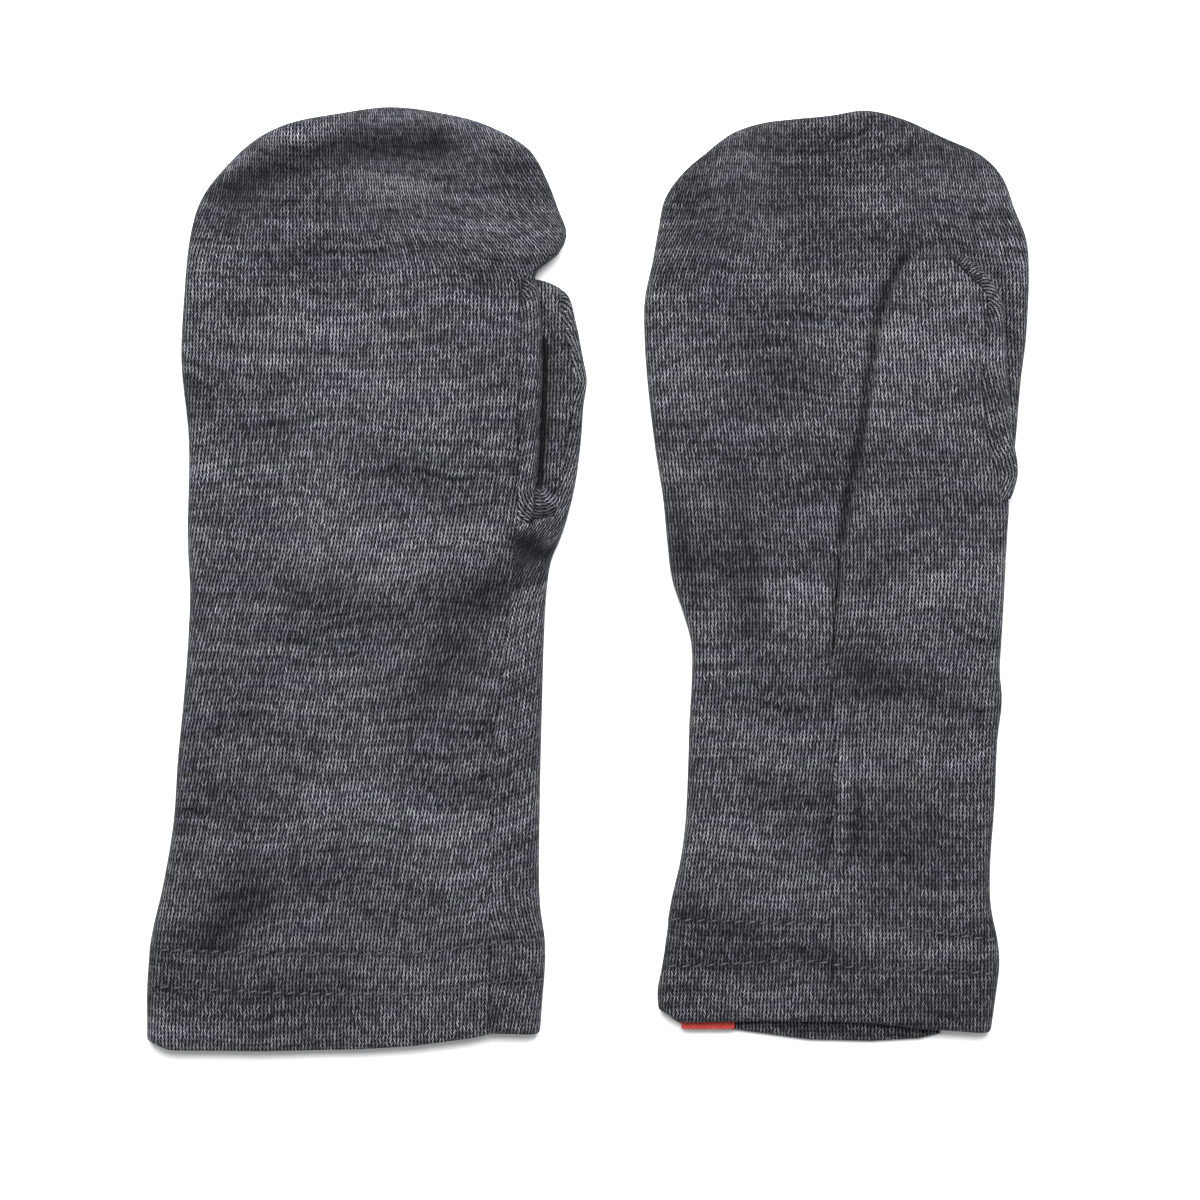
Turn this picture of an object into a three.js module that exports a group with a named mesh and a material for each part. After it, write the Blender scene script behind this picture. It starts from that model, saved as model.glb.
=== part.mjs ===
// Pair of baby mittens in grey melange wool jersey, laid flat side by side: the left one with the back of the
// hand up, the right one palm up. Lengths are millimetres. +Y runs from the cuffs to the fingertips, +X from the
// little finger of the left mitten to the thumb of the right one, and the cloth lies on z = 0.
import * as THREE from "three";

// Driving dimensions of the cloth and of the layers that lie on each other
const CLOTH = 1.1;
const HEM_CLOTH = 1.9;
const SEAM_GAP = 0.3;
const HAND_HEIGHT = 3.8;
const CUFF_HEIGHT = 5.2;
const THUMB_HEIGHT = 2.8;
const THUMB_CROWN = 0.8;
const TAB = { x: 20.9, y: -74.0, width: 9.3, length: 9.6, thickness: 0.7, height: 2.15 };

// Where the wrist begins to thicken towards the cuff, and where it has the cuff's full height
const WRIST_TOP = 0;
const CUFF_TOP = -60;
// How far from the thumb the panels above it still lie at its height, and where they are down again
const DRAPE_HELD = 4.5;
const PALM_DRAPE = 12;
const BACK_DRAPE = 18;
// Length over which the wrist rises into the thumb, and width over which it slopes down to the thumb's root
const THUMB_RISE = 26;
const ROOT_SLOPE = 9;
// Widths along the rims over which the folds fade out and the thumb reaches its full height
const FOLD_FADE = 6;
const CROWN_WIDTH = 9;

// How finely each stretch is divided
const HEM_ROWS = 4;
const WRIST_ROWS = 14;
const HAND_ROWS = 8;
const TIP_RIBS = 20;
const THUMB_ROWS = 7;
const THUMB_TIP_RIBS = 12;
const RIM_STEPS = 3;
const WRAP_STEPS = 5;
const CURVE_STEPS = 12;
const OUTLINE_SKIP = 6;
// Points closer than this are one point
const WELD = 1e-4;

const COLOURS = { jersey: 0x54555b, tab: 0xa8443c };

// A short table with named columns becomes a list of rows
function table(names, rows) {
  const columns = names.split(" ");
  return rows.map((row) => Object.fromEntries(columns.map((name, i) => [name, row[i]])));
}

// Left mitten, back of the hand up
const LEFT = {
  upperIsBack: true,
  // From the little-finger end of the hem, up the side, over the tip and down to the crotch of the thumb
  rim: table("x y", [
    [-77.0, -80.8],
    [-77.0, -71.0],
    [-76.3, -63.3],
    [-74.0, -52.8],
    [-72.3, -42.3],
    [-71.6, -31.8],
    [-70.6, -21.3],
    [-69.8, -10.8],
    [-69.5, -2.0],
    [-69.9, 6.7],
    [-69.7, 24.0],
    [-71.0, 38.0],
    [-70.6, 48.0],
    [-69.4, 60.0],
    [-67.5, 66.2],
    [-63.3, 71.8],
    [-57.8, 76.8],
    [-52.1, 79.5],
    [-43.4, 81.2],
    [-34.6, 82.3],
    [-25.9, 81.3],
    [-17.8, 79.2],
    [-10.2, 74.8],
    [-7.2, 69.7],
    [-5.2, 64.5],
    [-3.7, 60.0],
    [-5.0, 56.6],
    [-8.0, 54.4],
    [-9.2, 52.4],
    [-8.5, 50.0],
    [-8.2, 41.0],
    [-8.2, 28.0],
    [-8.6, 18.0],
    [-9.0, 13.7],
  ]),
  // Thumb-side edge of the wrist, from the crotch to the hem
  wristEdge: table("x y", [
    [-2.8, 13.7],
    [-3.7, 10.2],
    [-4.9, 6.7],
    [-6.4, 3.2],
    [-7.2, -2.0],
    [-7.7, -10.8],
    [-8.0, -21.3],
    [-8.4, -38.8],
    [-8.4, -56.3],
    [-7.5, -63.3],
    [-7.5, -67.6],
    [-8.0, -74.0],
    [-8.4, -79.6],
  ]),
  // Centre palm seam, hidden under this mitten, and the line that goes on from it to the middle of the hand
  spine: table("y x", [
    [-82, -40.5],
    [3, -38.8],
    [40, -38.5],
  ]),
  levels: table("left spine right", [
    [-80.8, -80.2, -79.6],
    [-64.8, -64.2, -63.2],
    [3.0, 3.2, 13.7],
    [40, 40, 40],
  ]),
  hemDrop: table("x back palm", [
    [-77.0, 0, 0],
    [-72.8, -1.5, -1.5],
    [-59.0, -1.9, -1.9],
    [-41.0, -1.9, -1.9],
    [-30.6, -1.5, -1.5],
    [-20.1, -0.3, -0.3],
    [-16.8, 0.4, 0.4],
    [-8.2, 0, 0],
  ]),
  // Seam between the back panel and the panels that wrap the thumb-side edge
  edgeSeam: table("x y", [
    [-8.6, 54.6],
    [-10.4, 53.0],
    [-11.4, 51.0],
    [-12.1, 31.2],
    [-12.2, 12.5],
    [-13.1, -0.3],
    [-14.3, -10.8],
    [-16.3, -29.5],
    [-16.9, -52.8],
    [-17.2, -83.0],
  ]),
  thumb: {
    // From the top of the centre palm seam up the free side, over the tip and down to the crotch
    rim: table("x y", [
      [-38.8, 3.2],
      [-35.0, 10.2],
      [-30.3, 22.5],
      [-28.0, 31.2],
      [-26.2, 40.0],
      [-23.8, 46.1],
      [-19.8, 50.4],
      [-13.6, 52.3],
      [-7.5, 51.9],
      [-3.6, 49.6],
      [-2.2, 45.2],
      [-0.8, 38.2],
      [-0.2, 34.7],
      [-0.8, 30.0],
      [-1.2, 24.2],
      [-2.1, 17.2],
      [-2.8, 13.7],
    ]),
    pole: { x: -14, y: 38 },
    rollSeam: table("x y", [
      [-4.0, 51.6],
      [-4.9, 48.7],
      [-3.5, 42.3],
      [-2.2, 33.0],
      [-3.8, 23.5],
      [-5.2, 13.0],
    ]),
  },
  folds: table("x0 y0 x1 y1 width rise", [
    [-61.0, 69.5, -43.0, 75.5, 4.0, -0.8],
    [-43.0, 75.5, -27.0, 77.0, 3.5, -0.7],
    [-18.0, 10.5, -29.0, -23.0, 5.0, -0.9],
    [-64.0, -61.0, -59.0, -56.0, 4.0, -0.5],
    [-50.0, 20.0, -34.0, 5.0, 5.0, 0.4],
  ]),
};

// Right mitten, palm up
const RIGHT = {
  upperIsBack: false,
  rim: table("x y", [
    [12.2, -75.4],
    [12.0, -72.0],
    [12.9, -66.8],
    [14.5, -56.3],
    [16.1, -49.3],
    [17.0, -42.3],
    [17.5, -31.8],
    [17.7, -24.8],
    [18.1, -17.8],
    [18.0, -11.2],
    [16.6, -6.0],
    [14.7, -0.3],
    [13.8, 6.7],
    [13.1, 14.0],
    [11.9, 21.5],
    [10.7, 31.2],
    [9.9, 41.0],
    [9.9, 48.7],
    [11.2, 55.0],
    [12.2, 60.5],
    [13.4, 66.2],
    [16.4, 70.6],
    [20.5, 74.2],
    [25.0, 77.6],
    [30.0, 79.4],
    [36.0, 80.2],
    [42.3, 80.8],
    [48.5, 81.7],
    [55.0, 80.2],
    [62.0, 77.0],
    [68.8, 73.8],
    [72.4, 70.0],
    [74.5, 64.5],
    [76.6, 59.0],
    [77.0, 53.0],
    [76.5, 42.0],
    [75.6, 34.7],
    [74.7, 24.2],
    [73.9, 17.2],
    [73.4, 13.7],
  ]),
  wristEdge: table("x y", [
    [73.4, 13.7],
    [72.9, 4.0],
    [72.6, -3.8],
    [72.2, -11.0],
    [71.9, -16.0],
    [72.3, -21.3],
    [71.5, -28.3],
    [71.0, -38.8],
    [70.2, -50.0],
    [70.3, -57.1],
    [71.5, -63.3],
    [71.8, -67.1],
    [71.0, -73.8],
    [70.2, -79.4],
  ]),
  // Centre palm seam, and the line that goes on from it to the middle of the hand
  spine: table("y x", [
    [-82, 42.7],
    [-56, 42.6],
    [-49, 42.3],
    [-32, 43.2],
    [-21, 42.3],
    [-4, 43.2],
    [3, 43.8],
    [40, 43.5],
  ]),
  levels: table("left spine right", [
    [-75.4, -77.4, -79.4],
    [-59.4, -60.3, -63.0],
    [3.0, 3.2, 13.7],
    [40, 40, 40],
  ]),
  hemDrop: table("x back palm", [
    [12.0, 0, 0],
    [16.8, -2.5, -1.7],
    [25.7, -2.6, -0.9],
    [38.8, -3.5, -0.1],
    [49.3, -3.0, 0.5],
    [57.9, -1.9, 0],
    [62.1, -0.6, 0],
    [70.2, 0, 0],
  ]),
  edgeSeam: table("x y", [
    [77.4, 55.5],
    [74.8, 53.5],
    [73.6, 51.0],
    [72.0, 31.2],
    [70.2, 12.5],
    [69.0, -0.3],
    [67.6, -10.8],
    [64.2, -29.5],
    [62.0, -52.8],
    [61.6, -83.0],
  ]),
  thumb: {
    rim: table("x y", [
      [43.8, 3.2],
      [45.8, 13.7],
      [48.3, 26.0],
      [49.4, 34.7],
      [50.9, 43.5],
      [52.8, 50.5],
      [55.7, 55.2],
      [60.2, 56.9],
      [65.4, 55.8],
      [69.5, 52.6],
      [72.0, 48.4],
      [72.6, 43.7],
      [72.6, 37.5],
      [73.3, 30.7],
      [73.9, 25.1],
      [74.8, 18.3],
      [73.6, 13.7],
    ]),
    pole: { x: 61.5, y: 43 },
    rollSeam: table("x y", [
      [61.5, 57.2],
      [65.3, 53.4],
      [69.4, 48.6],
      [68.9, 42.4],
      [68.4, 36.8],
      [68.6, 30.7],
      [69.8, 23.0],
      [71.2, 17.4],
      [72.3, 12.5],
    ]),
  },
  folds: table("x0 y0 x1 y1 width rise", [
    [26.5, 16.5, 28.5, -8.0, 2.6, -0.7],
    [45.5, -26.0, 46.0, -48.5, 2.4, 0.9],
    [43.0, -30.0, 43.0, -52.0, 2.0, -0.6],
    [34.0, -2.0, 42.0, -4.5, 5.0, 0.5],
    [16.5, 14.0, 18.0, 3.0, 2.2, -0.5],
  ]),
};

// Smooth step from 0 to 1
function ease(t) {
  const s = THREE.MathUtils.clamp(t, 0, 1);
  return s * s * (3 - 2 * s);
}

// Value of one column where another column has the given value, both in rows sorted by that second column
function lookUp(rows, key, at, column) {
  const ordered = rows[0][key] < rows[rows.length - 1][key] ? rows : [...rows].reverse();
  if (at <= ordered[0][key]) return ordered[0][column];
  for (let i = 1; i < ordered.length; i++) {
    const a = ordered[i - 1];
    const b = ordered[i];
    if (at <= b[key]) return THREE.MathUtils.mapLinear(at, a[key], b[key], a[column], b[column]);
  }
  return ordered[ordered.length - 1][column];
}

// A smooth line through the rows of a table, as closely spaced points
function smoothLine(rows) {
  const points = rows.map((row) => new THREE.Vector3(row.x, row.y, 0));
  const curve = new THREE.CatmullRomCurve3(points, false, "centripetal");
  return curve.getPoints(rows.length * CURVE_STEPS).map((p) => new THREE.Vector2(p.x, p.y));
}

// First point of a line at height y, from its start or from its end
function pointAtHeight(line, y, fromEnd) {
  const walk = fromEnd ? [...line].reverse() : line;
  for (let i = 1; i < walk.length; i++) {
    const a = walk[i - 1];
    const b = walk[i];
    if ((a.y - y) * (b.y - y) <= 0 && a.y !== b.y) return a.clone().lerp(b, (y - a.y) / (b.y - a.y));
  }
  return (fromEnd ? line[line.length - 1] : line[0]).clone();
}

// Distance from an origin, along a direction, at which a ray meets a line, or null
function rayMeets(line, origin, direction) {
  let nearest = null;
  for (let i = 1; i < line.length; i++) {
    const a = line[i - 1].clone().sub(origin);
    const step = line[i].clone().sub(line[i - 1]);
    const turn = direction.cross(step);
    if (Math.abs(turn) < 1e-12) continue;
    const along = a.cross(step) / turn;
    const part = a.cross(direction) / turn;
    if (part < 0 || part > 1 || along <= 0) continue;
    if (nearest === null || along < nearest) nearest = along;
  }
  return nearest;
}

// Distance from a point to a closed outline, negative inside it
function signedDistance(outline, x, y) {
  const point = new THREE.Vector2(x, y);
  let least = Infinity;
  let inside = false;
  for (let i = 0; i < outline.length; i++) {
    const a = outline[i];
    const b = outline[(i + 1) % outline.length];
    const step = b.clone().sub(a);
    const length = step.lengthSq() || 1;
    const part = THREE.MathUtils.clamp(point.clone().sub(a).dot(step) / length, 0, 1);
    least = Math.min(least, a.clone().addScaledVector(step, part).distanceTo(point));
    if (a.y > y !== b.y > y && x < a.x + ((y - a.y) / (b.y - a.y)) * (b.x - a.x)) inside = !inside;
  }
  return inside ? -least : least;
}

// One rib of a flattened tube: it runs in plan from the spine of the tube to the rim
function rib(origin, rimPoint, extra) {
  const direction = rimPoint.clone().sub(origin);
  const reach = direction.length();
  return { origin, direction: direction.normalize(), reach, ...extra };
}

// Ribs that turn round the tip from one side's last rib to the other's. Those after the given one may cross a
// seam on the thumb side.
function fan(rim, from, to, count, thumbSideAfter) {
  const startAngle = from.direction.angle();
  const endAngle = to.direction.angle();
  const turn = startAngle - (endAngle > startAngle ? endAngle - 2 * Math.PI : endAngle);
  const ribs = [];
  for (let i = 1; i < count; i++) {
    const angle = startAngle - (turn * i) / count;
    const direction = new THREE.Vector2(Math.cos(angle), Math.sin(angle));
    const rimPoint = from.origin.clone().addScaledVector(direction, rayMeets(rim, from.origin, direction));
    ribs.push(rib(from.origin, rimPoint, { hem: 0, belowThumb: false, thumbSide: i > thumbSideAfter }));
  }
  return ribs;
}

// Height of the flat mitten without its folds
function layersHeight(y) {
  return THREE.MathUtils.lerp(HAND_HEIGHT, CUFF_HEIGHT, ease((WRIST_TOP - y) / (WRIST_TOP - CUFF_TOP)));
}

// A soft trough or ridge along a straight line, fading out at its ends
function foldRise(fold, x, y) {
  const start = new THREE.Vector2(fold.x0, fold.y0);
  const run = new THREE.Vector2(fold.x1, fold.y1).sub(start);
  const at = new THREE.Vector2(x, y).sub(start);
  const along = at.dot(run) / run.lengthSq();
  const aside = at.cross(run) / run.length();
  const beyond = Math.max(0, -along, along - 1) * run.length();
  return fold.rise * Math.exp(-((aside / fold.width) ** 2) - (beyond / fold.width) ** 2);
}

// How much the panels over the thumb are lifted at a point
function drape(mitten, x, y, reach) {
  const distance = signedDistance(mitten.thumbOutline, x, y);
  return (THUMB_HEIGHT + SEAM_GAP) * (1 - ease((distance - DRAPE_HELD) / (reach - DRAPE_HELD)));
}

// Lowest and highest surfaces of the hand and wrist
function handLow(mitten, x, y, onFloor) {
  return mitten.upperIsBack && !onFloor ? drape(mitten, x, y, PALM_DRAPE) : 0;
}

function handHigh(mitten, x, y, ownRib, inward) {
  let height = layersHeight(y);
  for (const fold of mitten.folds) height += foldRise(fold, x, y) * ease(inward / FOLD_FADE);
  if (mitten.upperIsBack) {
    const slope = ownRib.thumbSide && ownRib.belowThumb ? ease(inward / ROOT_SLOPE) : 1;
    height += drape(mitten, x, y, BACK_DRAPE) * slope;
  }
  return height;
}

// Lowest and highest surfaces of the thumb
function thumbLow(mitten) {
  return mitten.upperIsBack ? 0 : HAND_HEIGHT + SEAM_GAP;
}

function thumbHigh(mitten, x, y, inward) {
  const crown = mitten.upperIsBack ? 0 : THUMB_CROWN * ease(inward / CROWN_WIDTH);
  return thumbLow(mitten) + THUMB_HEIGHT + crown;
}

// Point on a rib of the flattened tube at a path length q from the rim: positive on the upper side, negative on
// the lower side, round the folded edge in between
function onRib(tube, ownRib, q, onFloor = false) {
  const rimX = ownRib.origin.x + ownRib.direction.x * ownRib.reach;
  const rimY = ownRib.origin.y + ownRib.direction.y * ownRib.reach;
  const radius = (tube.high(rimX, rimY, ownRib, 0) - tube.low(rimX, rimY, onFloor)) / 2;
  const arc = (radius * Math.PI) / 2;
  const far = Math.abs(q);
  const angle = (Math.min(far / arc, 1) * Math.PI) / 2;
  const inward = radius * (1 - Math.cos(angle)) + Math.max(0, far - arc);
  const plan = ownRib.origin.clone().addScaledVector(ownRib.direction, ownRib.reach - inward);
  const high = tube.high(plan.x, plan.y, ownRib, inward);
  const low = tube.low(plan.x, plan.y, onFloor);
  const z = (high + low) / 2 + (Math.sign(q) * (high - low) * Math.sin(angle)) / 2;
  const point = new THREE.Vector3(plan.x, plan.y, z);
  const level = ownRib.direction.clone().multiplyScalar(Math.cos(angle));
  point.outward = new THREE.Vector3(level.x, level.y, Math.sign(q) * Math.sin(angle));
  return point;
}

// Path lengths that matter on a rib: where its folded edge ends, and where it reaches the spine
function ribPath(tube, ownRib, onFloor = false) {
  const rimX = ownRib.origin.x + ownRib.direction.x * ownRib.reach;
  const rimY = ownRib.origin.y + ownRib.direction.y * ownRib.reach;
  const radius = (tube.high(rimX, rimY, ownRib, 0) - tube.low(rimX, rimY, onFloor)) / 2;
  const arc = (radius * Math.PI) / 2;
  return { radius, arc, spine: arc + ownRib.reach - radius };
}

// Path length from the rim to a seam that a rib crosses, 0 where it crosses none
function seamPath(tube, ownRib, seam, onFloor = false) {
  if (!ownRib.thumbSide) return 0;
  const meets = rayMeets(seam, ownRib.origin, ownRib.direction);
  if (meets === null || meets >= ownRib.reach) return 0;
  const { radius, arc } = ribPath(tube, ownRib, onFloor);
  const inward = ownRib.reach - meets;
  if (inward >= radius) return arc + inward - radius;
  return (arc * Math.acos(1 - inward / radius)) / (Math.PI / 2);
}

// Path lengths along a rib from a seam to the spine, with the folded edge well divided. Side is 1 for the upper
// panel and -1 for the lower one. The start may lie past the rim, on the other side.
function pathSteps(tube, ownRib, start, side, across, endGap, onFloor = false) {
  const { arc, spine } = ribPath(tube, ownRib, onFloor);
  const end = spine - endGap;
  const first = start * side;
  const targets = [first];
  for (let i = -RIM_STEPS; i <= RIM_STEPS; i++) targets.push(Math.max(first, (arc * i) / RIM_STEPS));
  const flatStart = Math.max(first, arc);
  for (let i = 1; i <= across; i++) targets.push(THREE.MathUtils.lerp(flatStart, end, i / across));
  return targets.map((q) => q * side);
}

// A sheet of cloth as welded points and triangles, without thickness
class Sheet {
  points = [];
  outwards = [];
  faces = [];

  weld(point) {
    const found = this.points.findIndex((p) => p.distanceTo(point) < WELD);
    if (found >= 0) return found;
    this.outwards.push(point.outward);
    return this.points.push(point.clone()) - 1;
  }

  addRows(rows, facesUp) {
    const ids = rows.map((row) => row.map((point) => this.weld(point)));
    for (let i = 1; i < ids.length; i++) {
      for (let j = 1; j < ids[i].length; j++) {
        const corner = [ids[i - 1][j - 1], ids[i - 1][j], ids[i][j], ids[i][j - 1]];
        this.addFace(corner[0], corner[1], corner[2], facesUp);
        this.addFace(corner[0], corner[2], corner[3], facesUp);
      }
    }
  }

  addFace(a, b, c, facesUp) {
    if (a === b || b === c || a === c) return;
    this.faces.push(facesUp ? [a, b, c] : [a, c, b]);
  }

  // Edges that only one triangle has
  openEdges() {
    const edges = new Map();
    for (const face of this.faces) {
      face.forEach((a, i) => {
        const b = face[(i + 1) % 3];
        if (!edges.delete(`${b} ${a}`)) edges.set(`${a} ${b}`, [a, b]);
      });
    }
    return [...edges.values()];
  }

  // Directions in which the inner face lies away: square to the cloth, and along the cut at its edges
  normals() {
    const sums = this.points.map(() => new THREE.Vector3());
    for (const [a, b, c] of this.faces) {
      const side = this.points[b].clone().sub(this.points[a]);
      const other = this.points[c].clone().sub(this.points[a]);
      const area = side.cross(other);
      for (const id of [a, b, c]) sums[id].add(area);
    }
    for (const [a, b] of this.openEdges()) {
      sums[a].copy(this.outwards[a]);
      sums[b].copy(this.outwards[b]);
    }
    return sums.map((sum) => sum.normalize());
  }

  // Closed wall: the sheet is the outer face, the inner face lies in from it by the cloth's thickness
  wall(thicknessAt) {
    const normals = this.normals();
    const inner = this.points.map((p, i) => p.clone().addScaledVector(normals[i], -thicknessAt(p)));
    const count = this.points.length;
    const faces = [...this.faces];
    for (const [a, b, c] of this.faces) faces.push([a + count, c + count, b + count]);
    // Both panels at a seam split the faces of their cuts along the same diagonal
    for (const [a, b] of this.openEdges()) {
      if (this.points[a].y < this.points[b].y) faces.push([a, a + count, b], [b, a + count, b + count]);
      else faces.push([a, a + count, b + count], [a, b + count, b]);
    }
    const geometry = new THREE.BufferGeometry();
    const places = [...this.points, ...inner].flatMap((p) => [p.x, p.y, p.z]);
    geometry.setAttribute("position", new THREE.Float32BufferAttribute(places, 3));
    geometry.setIndex(faces.flat());
    geometry.computeVertexNormals();
    return geometry;
  }
}

// Ribs of the hand and wrist, from the little-finger end of the hem round the tip to the thumb end of the hem
function handRibs(mitten) {
  const rim = smoothLine(mitten.rim);
  const wristEdge = smoothLine(mitten.wristEdge);
  const stretches = [HEM_ROWS, WRIST_ROWS, HAND_ROWS];
  const rows = [];
  stretches.forEach((count, k) => {
    const from = mitten.levels[k];
    const to = mitten.levels[k + 1];
    for (let i = 0; i < count; i++) {
      const t = i / count;
      rows.push({
        left: THREE.MathUtils.lerp(from.left, to.left, t),
        spine: THREE.MathUtils.lerp(from.spine, to.spine, t),
        right: THREE.MathUtils.lerp(from.right, to.right, t),
        hem: k === 0 ? 1 - t : 0,
        belowThumb: k < 2,
      });
    }
  });
  // The row at the thumb's root is doubled, so that the panels above and below it lie a seam's gap apart
  const root = rows[HEM_ROWS + WRIST_ROWS];
  const below = { ...root, belowThumb: true };
  for (const end of ["left", "spine", "right"]) {
    root[end] += SEAM_GAP / 2;
    below[end] -= SEAM_GAP / 2;
  }
  rows.splice(HEM_ROWS + WRIST_ROWS, 0, below);
  const polePlace = mitten.levels[3];
  rows.push({ left: polePlace.left, spine: polePlace.spine, right: polePlace.right, hem: 0, belowThumb: false });

  const spineAt = (y) => new THREE.Vector2(lookUp(mitten.spine, "y", y, "x"), y);
  const leftRibs = rows.map((row) =>
    rib(spineAt(row.spine), pointAtHeight(rim, row.left, false), {
      hem: row.hem,
      belowThumb: row.belowThumb,
      thumbSide: false,
    }),
  );
  const rightRibs = rows.map((row) =>
    rib(spineAt(row.spine), pointAtHeight(row.belowThumb ? wristEdge : rim, row.right, true), {
      hem: row.hem,
      belowThumb: row.belowThumb,
      thumbSide: true,
    }),
  );
  const tipRibs = fan(rim, leftRibs[rows.length - 1], rightRibs[rows.length - 1], TIP_RIBS, TIP_RIBS / 2);
  return { leftRibs, tipRibs, rightRibs };
}

// Ribs of the thumb, from its free side at the root round the tip to the crotch
function thumbRibs(mitten) {
  const rim = smoothLine(mitten.thumb.rim);
  const first = rim[0];
  const last = rim[rim.length - 1];
  const root = first.clone().add(last).multiplyScalar(0.5);
  const pole = new THREE.Vector2(mitten.thumb.pole.x, mitten.thumb.pole.y);
  const leftRibs = [];
  const rightRibs = [];
  // The second row lies a seam's gap above the root: the inner half begins there
  const parts = [0, SEAM_GAP / root.distanceTo(pole)];
  for (let i = 1; i <= THUMB_ROWS; i++) parts.push(i / THUMB_ROWS);
  for (const part of parts) {
    const origin = root.clone().lerp(pole, part);
    const leftRim = pointAtHeight(rim, THREE.MathUtils.lerp(first.y, pole.y, part), false);
    const rightRim = pointAtHeight(rim, THREE.MathUtils.lerp(last.y, pole.y, part), true);
    leftRibs.push(rib(origin, leftRim, { thumbSide: false }));
    rightRibs.push(rib(origin, rightRim, { thumbSide: true }));
  }
  const lastRow = leftRibs.length - 1;
  const tipRibs = fan(rim, leftRibs[lastRow], rightRibs[lastRow], THUMB_TIP_RIBS, THUMB_TIP_RIBS / 3);
  return { leftRibs, tipRibs, rightRibs };
}

// The hem dips and rises along the cuff: points of the hem rows follow it
function followHem(mitten, ownRib, point, panel) {
  point.y += lookUp(mitten.hemDrop, "x", point.x, panel) * ownRib.hem;
  return point;
}

function handTube(mitten) {
  return {
    low: (x, y, onFloor) => handLow(mitten, x, y, onFloor),
    high: (x, y, ownRib, inward) => handHigh(mitten, x, y, ownRib, inward),
  };
}

function thumbTube(mitten) {
  return {
    low: () => thumbLow(mitten),
    high: (x, y, ownRib, inward) => thumbHigh(mitten, x, y, inward),
  };
}

// Thickness of the cloth wall: double where the hem is turned up
function clothThickness(mitten) {
  const [, stitches] = mitten.levels;
  return (p) => {
    const middle = lookUp(mitten.spine, "y", stitches.spine, "x");
    const end = p.x < middle ? mitten.rim[2].x : mitten.wristEdge[mitten.wristEdge.length - 4].x;
    const endY = p.x < middle ? stitches.left : stitches.right;
    const line = THREE.MathUtils.mapLinear(p.x, middle, end, stitches.spine, endY);
    return p.y < line - 0.5 ? HEM_CLOTH : CLOTH;
  };
}

// Back panel: the whole back of the hand and wrist, up to the seam near the thumb-side edge
function backPanel(mitten, across) {
  const tube = handTube(mitten);
  const side = mitten.upperIsBack ? 1 : -1;
  const seam = smoothLine(mitten.edgeSeam);
  const { leftRibs, tipRibs, rightRibs } = mitten.ribs;
  const walk = [...leftRibs, ...tipRibs, ...[...rightRibs].reverse()];
  const rows = walk.map((ownRib) => {
    const start = side * (seamPath(tube, ownRib, seam) + SEAM_GAP / 2);
    const steps = pathSteps(tube, ownRib, start, side, across, 0);
    return steps.map((q) => followHem(mitten, ownRib, onRib(tube, ownRib, q), "back"));
  });
  const sheet = new Sheet();
  sheet.addRows(rows, mitten.upperIsBack);
  return sheet.wall(clothThickness(mitten));
}

// Palm panel: the palm above the thumb's root, and the little-finger half of the wrist
function palmPanel(mitten, across) {
  const tube = handTube(mitten);
  const side = mitten.upperIsBack ? -1 : 1;
  const seam = smoothLine(mitten.edgeSeam);
  const { leftRibs, tipRibs, rightRibs } = mitten.ribs;
  const above = rightRibs.filter((ownRib) => !ownRib.belowThumb).reverse();
  const walk = [...leftRibs, ...tipRibs, ...above];
  const rows = walk.map((ownRib) => {
    const start = -side * (seamPath(tube, ownRib, seam) - SEAM_GAP / 2);
    const endGap = ownRib.belowThumb ? SEAM_GAP / 2 : 0;
    const steps = pathSteps(tube, ownRib, start, side, across, endGap);
    return steps.map((q) => followHem(mitten, ownRib, onRib(tube, ownRib, q), "palm"));
  });
  const sheet = new Sheet();
  sheet.addRows(rows, !mitten.upperIsBack);
  return sheet.wall(clothThickness(mitten));
}

// Rows of one half of the thumb, the outer half on the panel's own side or the inner half facing the palm
function thumbHalfRows(mitten, outer, across) {
  const tube = thumbTube(mitten);
  const side = outer === mitten.upperIsBack ? -1 : 1;
  const seam = smoothLine(mitten.thumb.rollSeam);
  const { leftRibs, tipRibs, rightRibs } = mitten.thumbRibs;
  const rowOf = (ownRib) => {
    const roll = seamPath(tube, ownRib, seam);
    const start = side === 1 ? roll + SEAM_GAP / 2 : roll - SEAM_GAP / 2;
    const steps = pathSteps(tube, ownRib, start, side, across, 0);
    return steps.map((q) => onRib(tube, ownRib, q));
  };
  const skip = outer ? 0 : 1;
  return {
    facesUp: side === 1,
    left: leftRibs.slice(skip).map(rowOf),
    tip: tipRibs.map(rowOf),
    right: rightRibs.slice(skip).map(rowOf),
  };
}

// Inner half of the thumb
function thumbInner(mitten, across) {
  const half = thumbHalfRows(mitten, false, across);
  const sheet = new Sheet();
  sheet.addRows([...half.left, ...half.tip, ...[...half.right].reverse()], half.facesUp);
  return sheet.wall(() => CLOTH);
}

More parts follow.
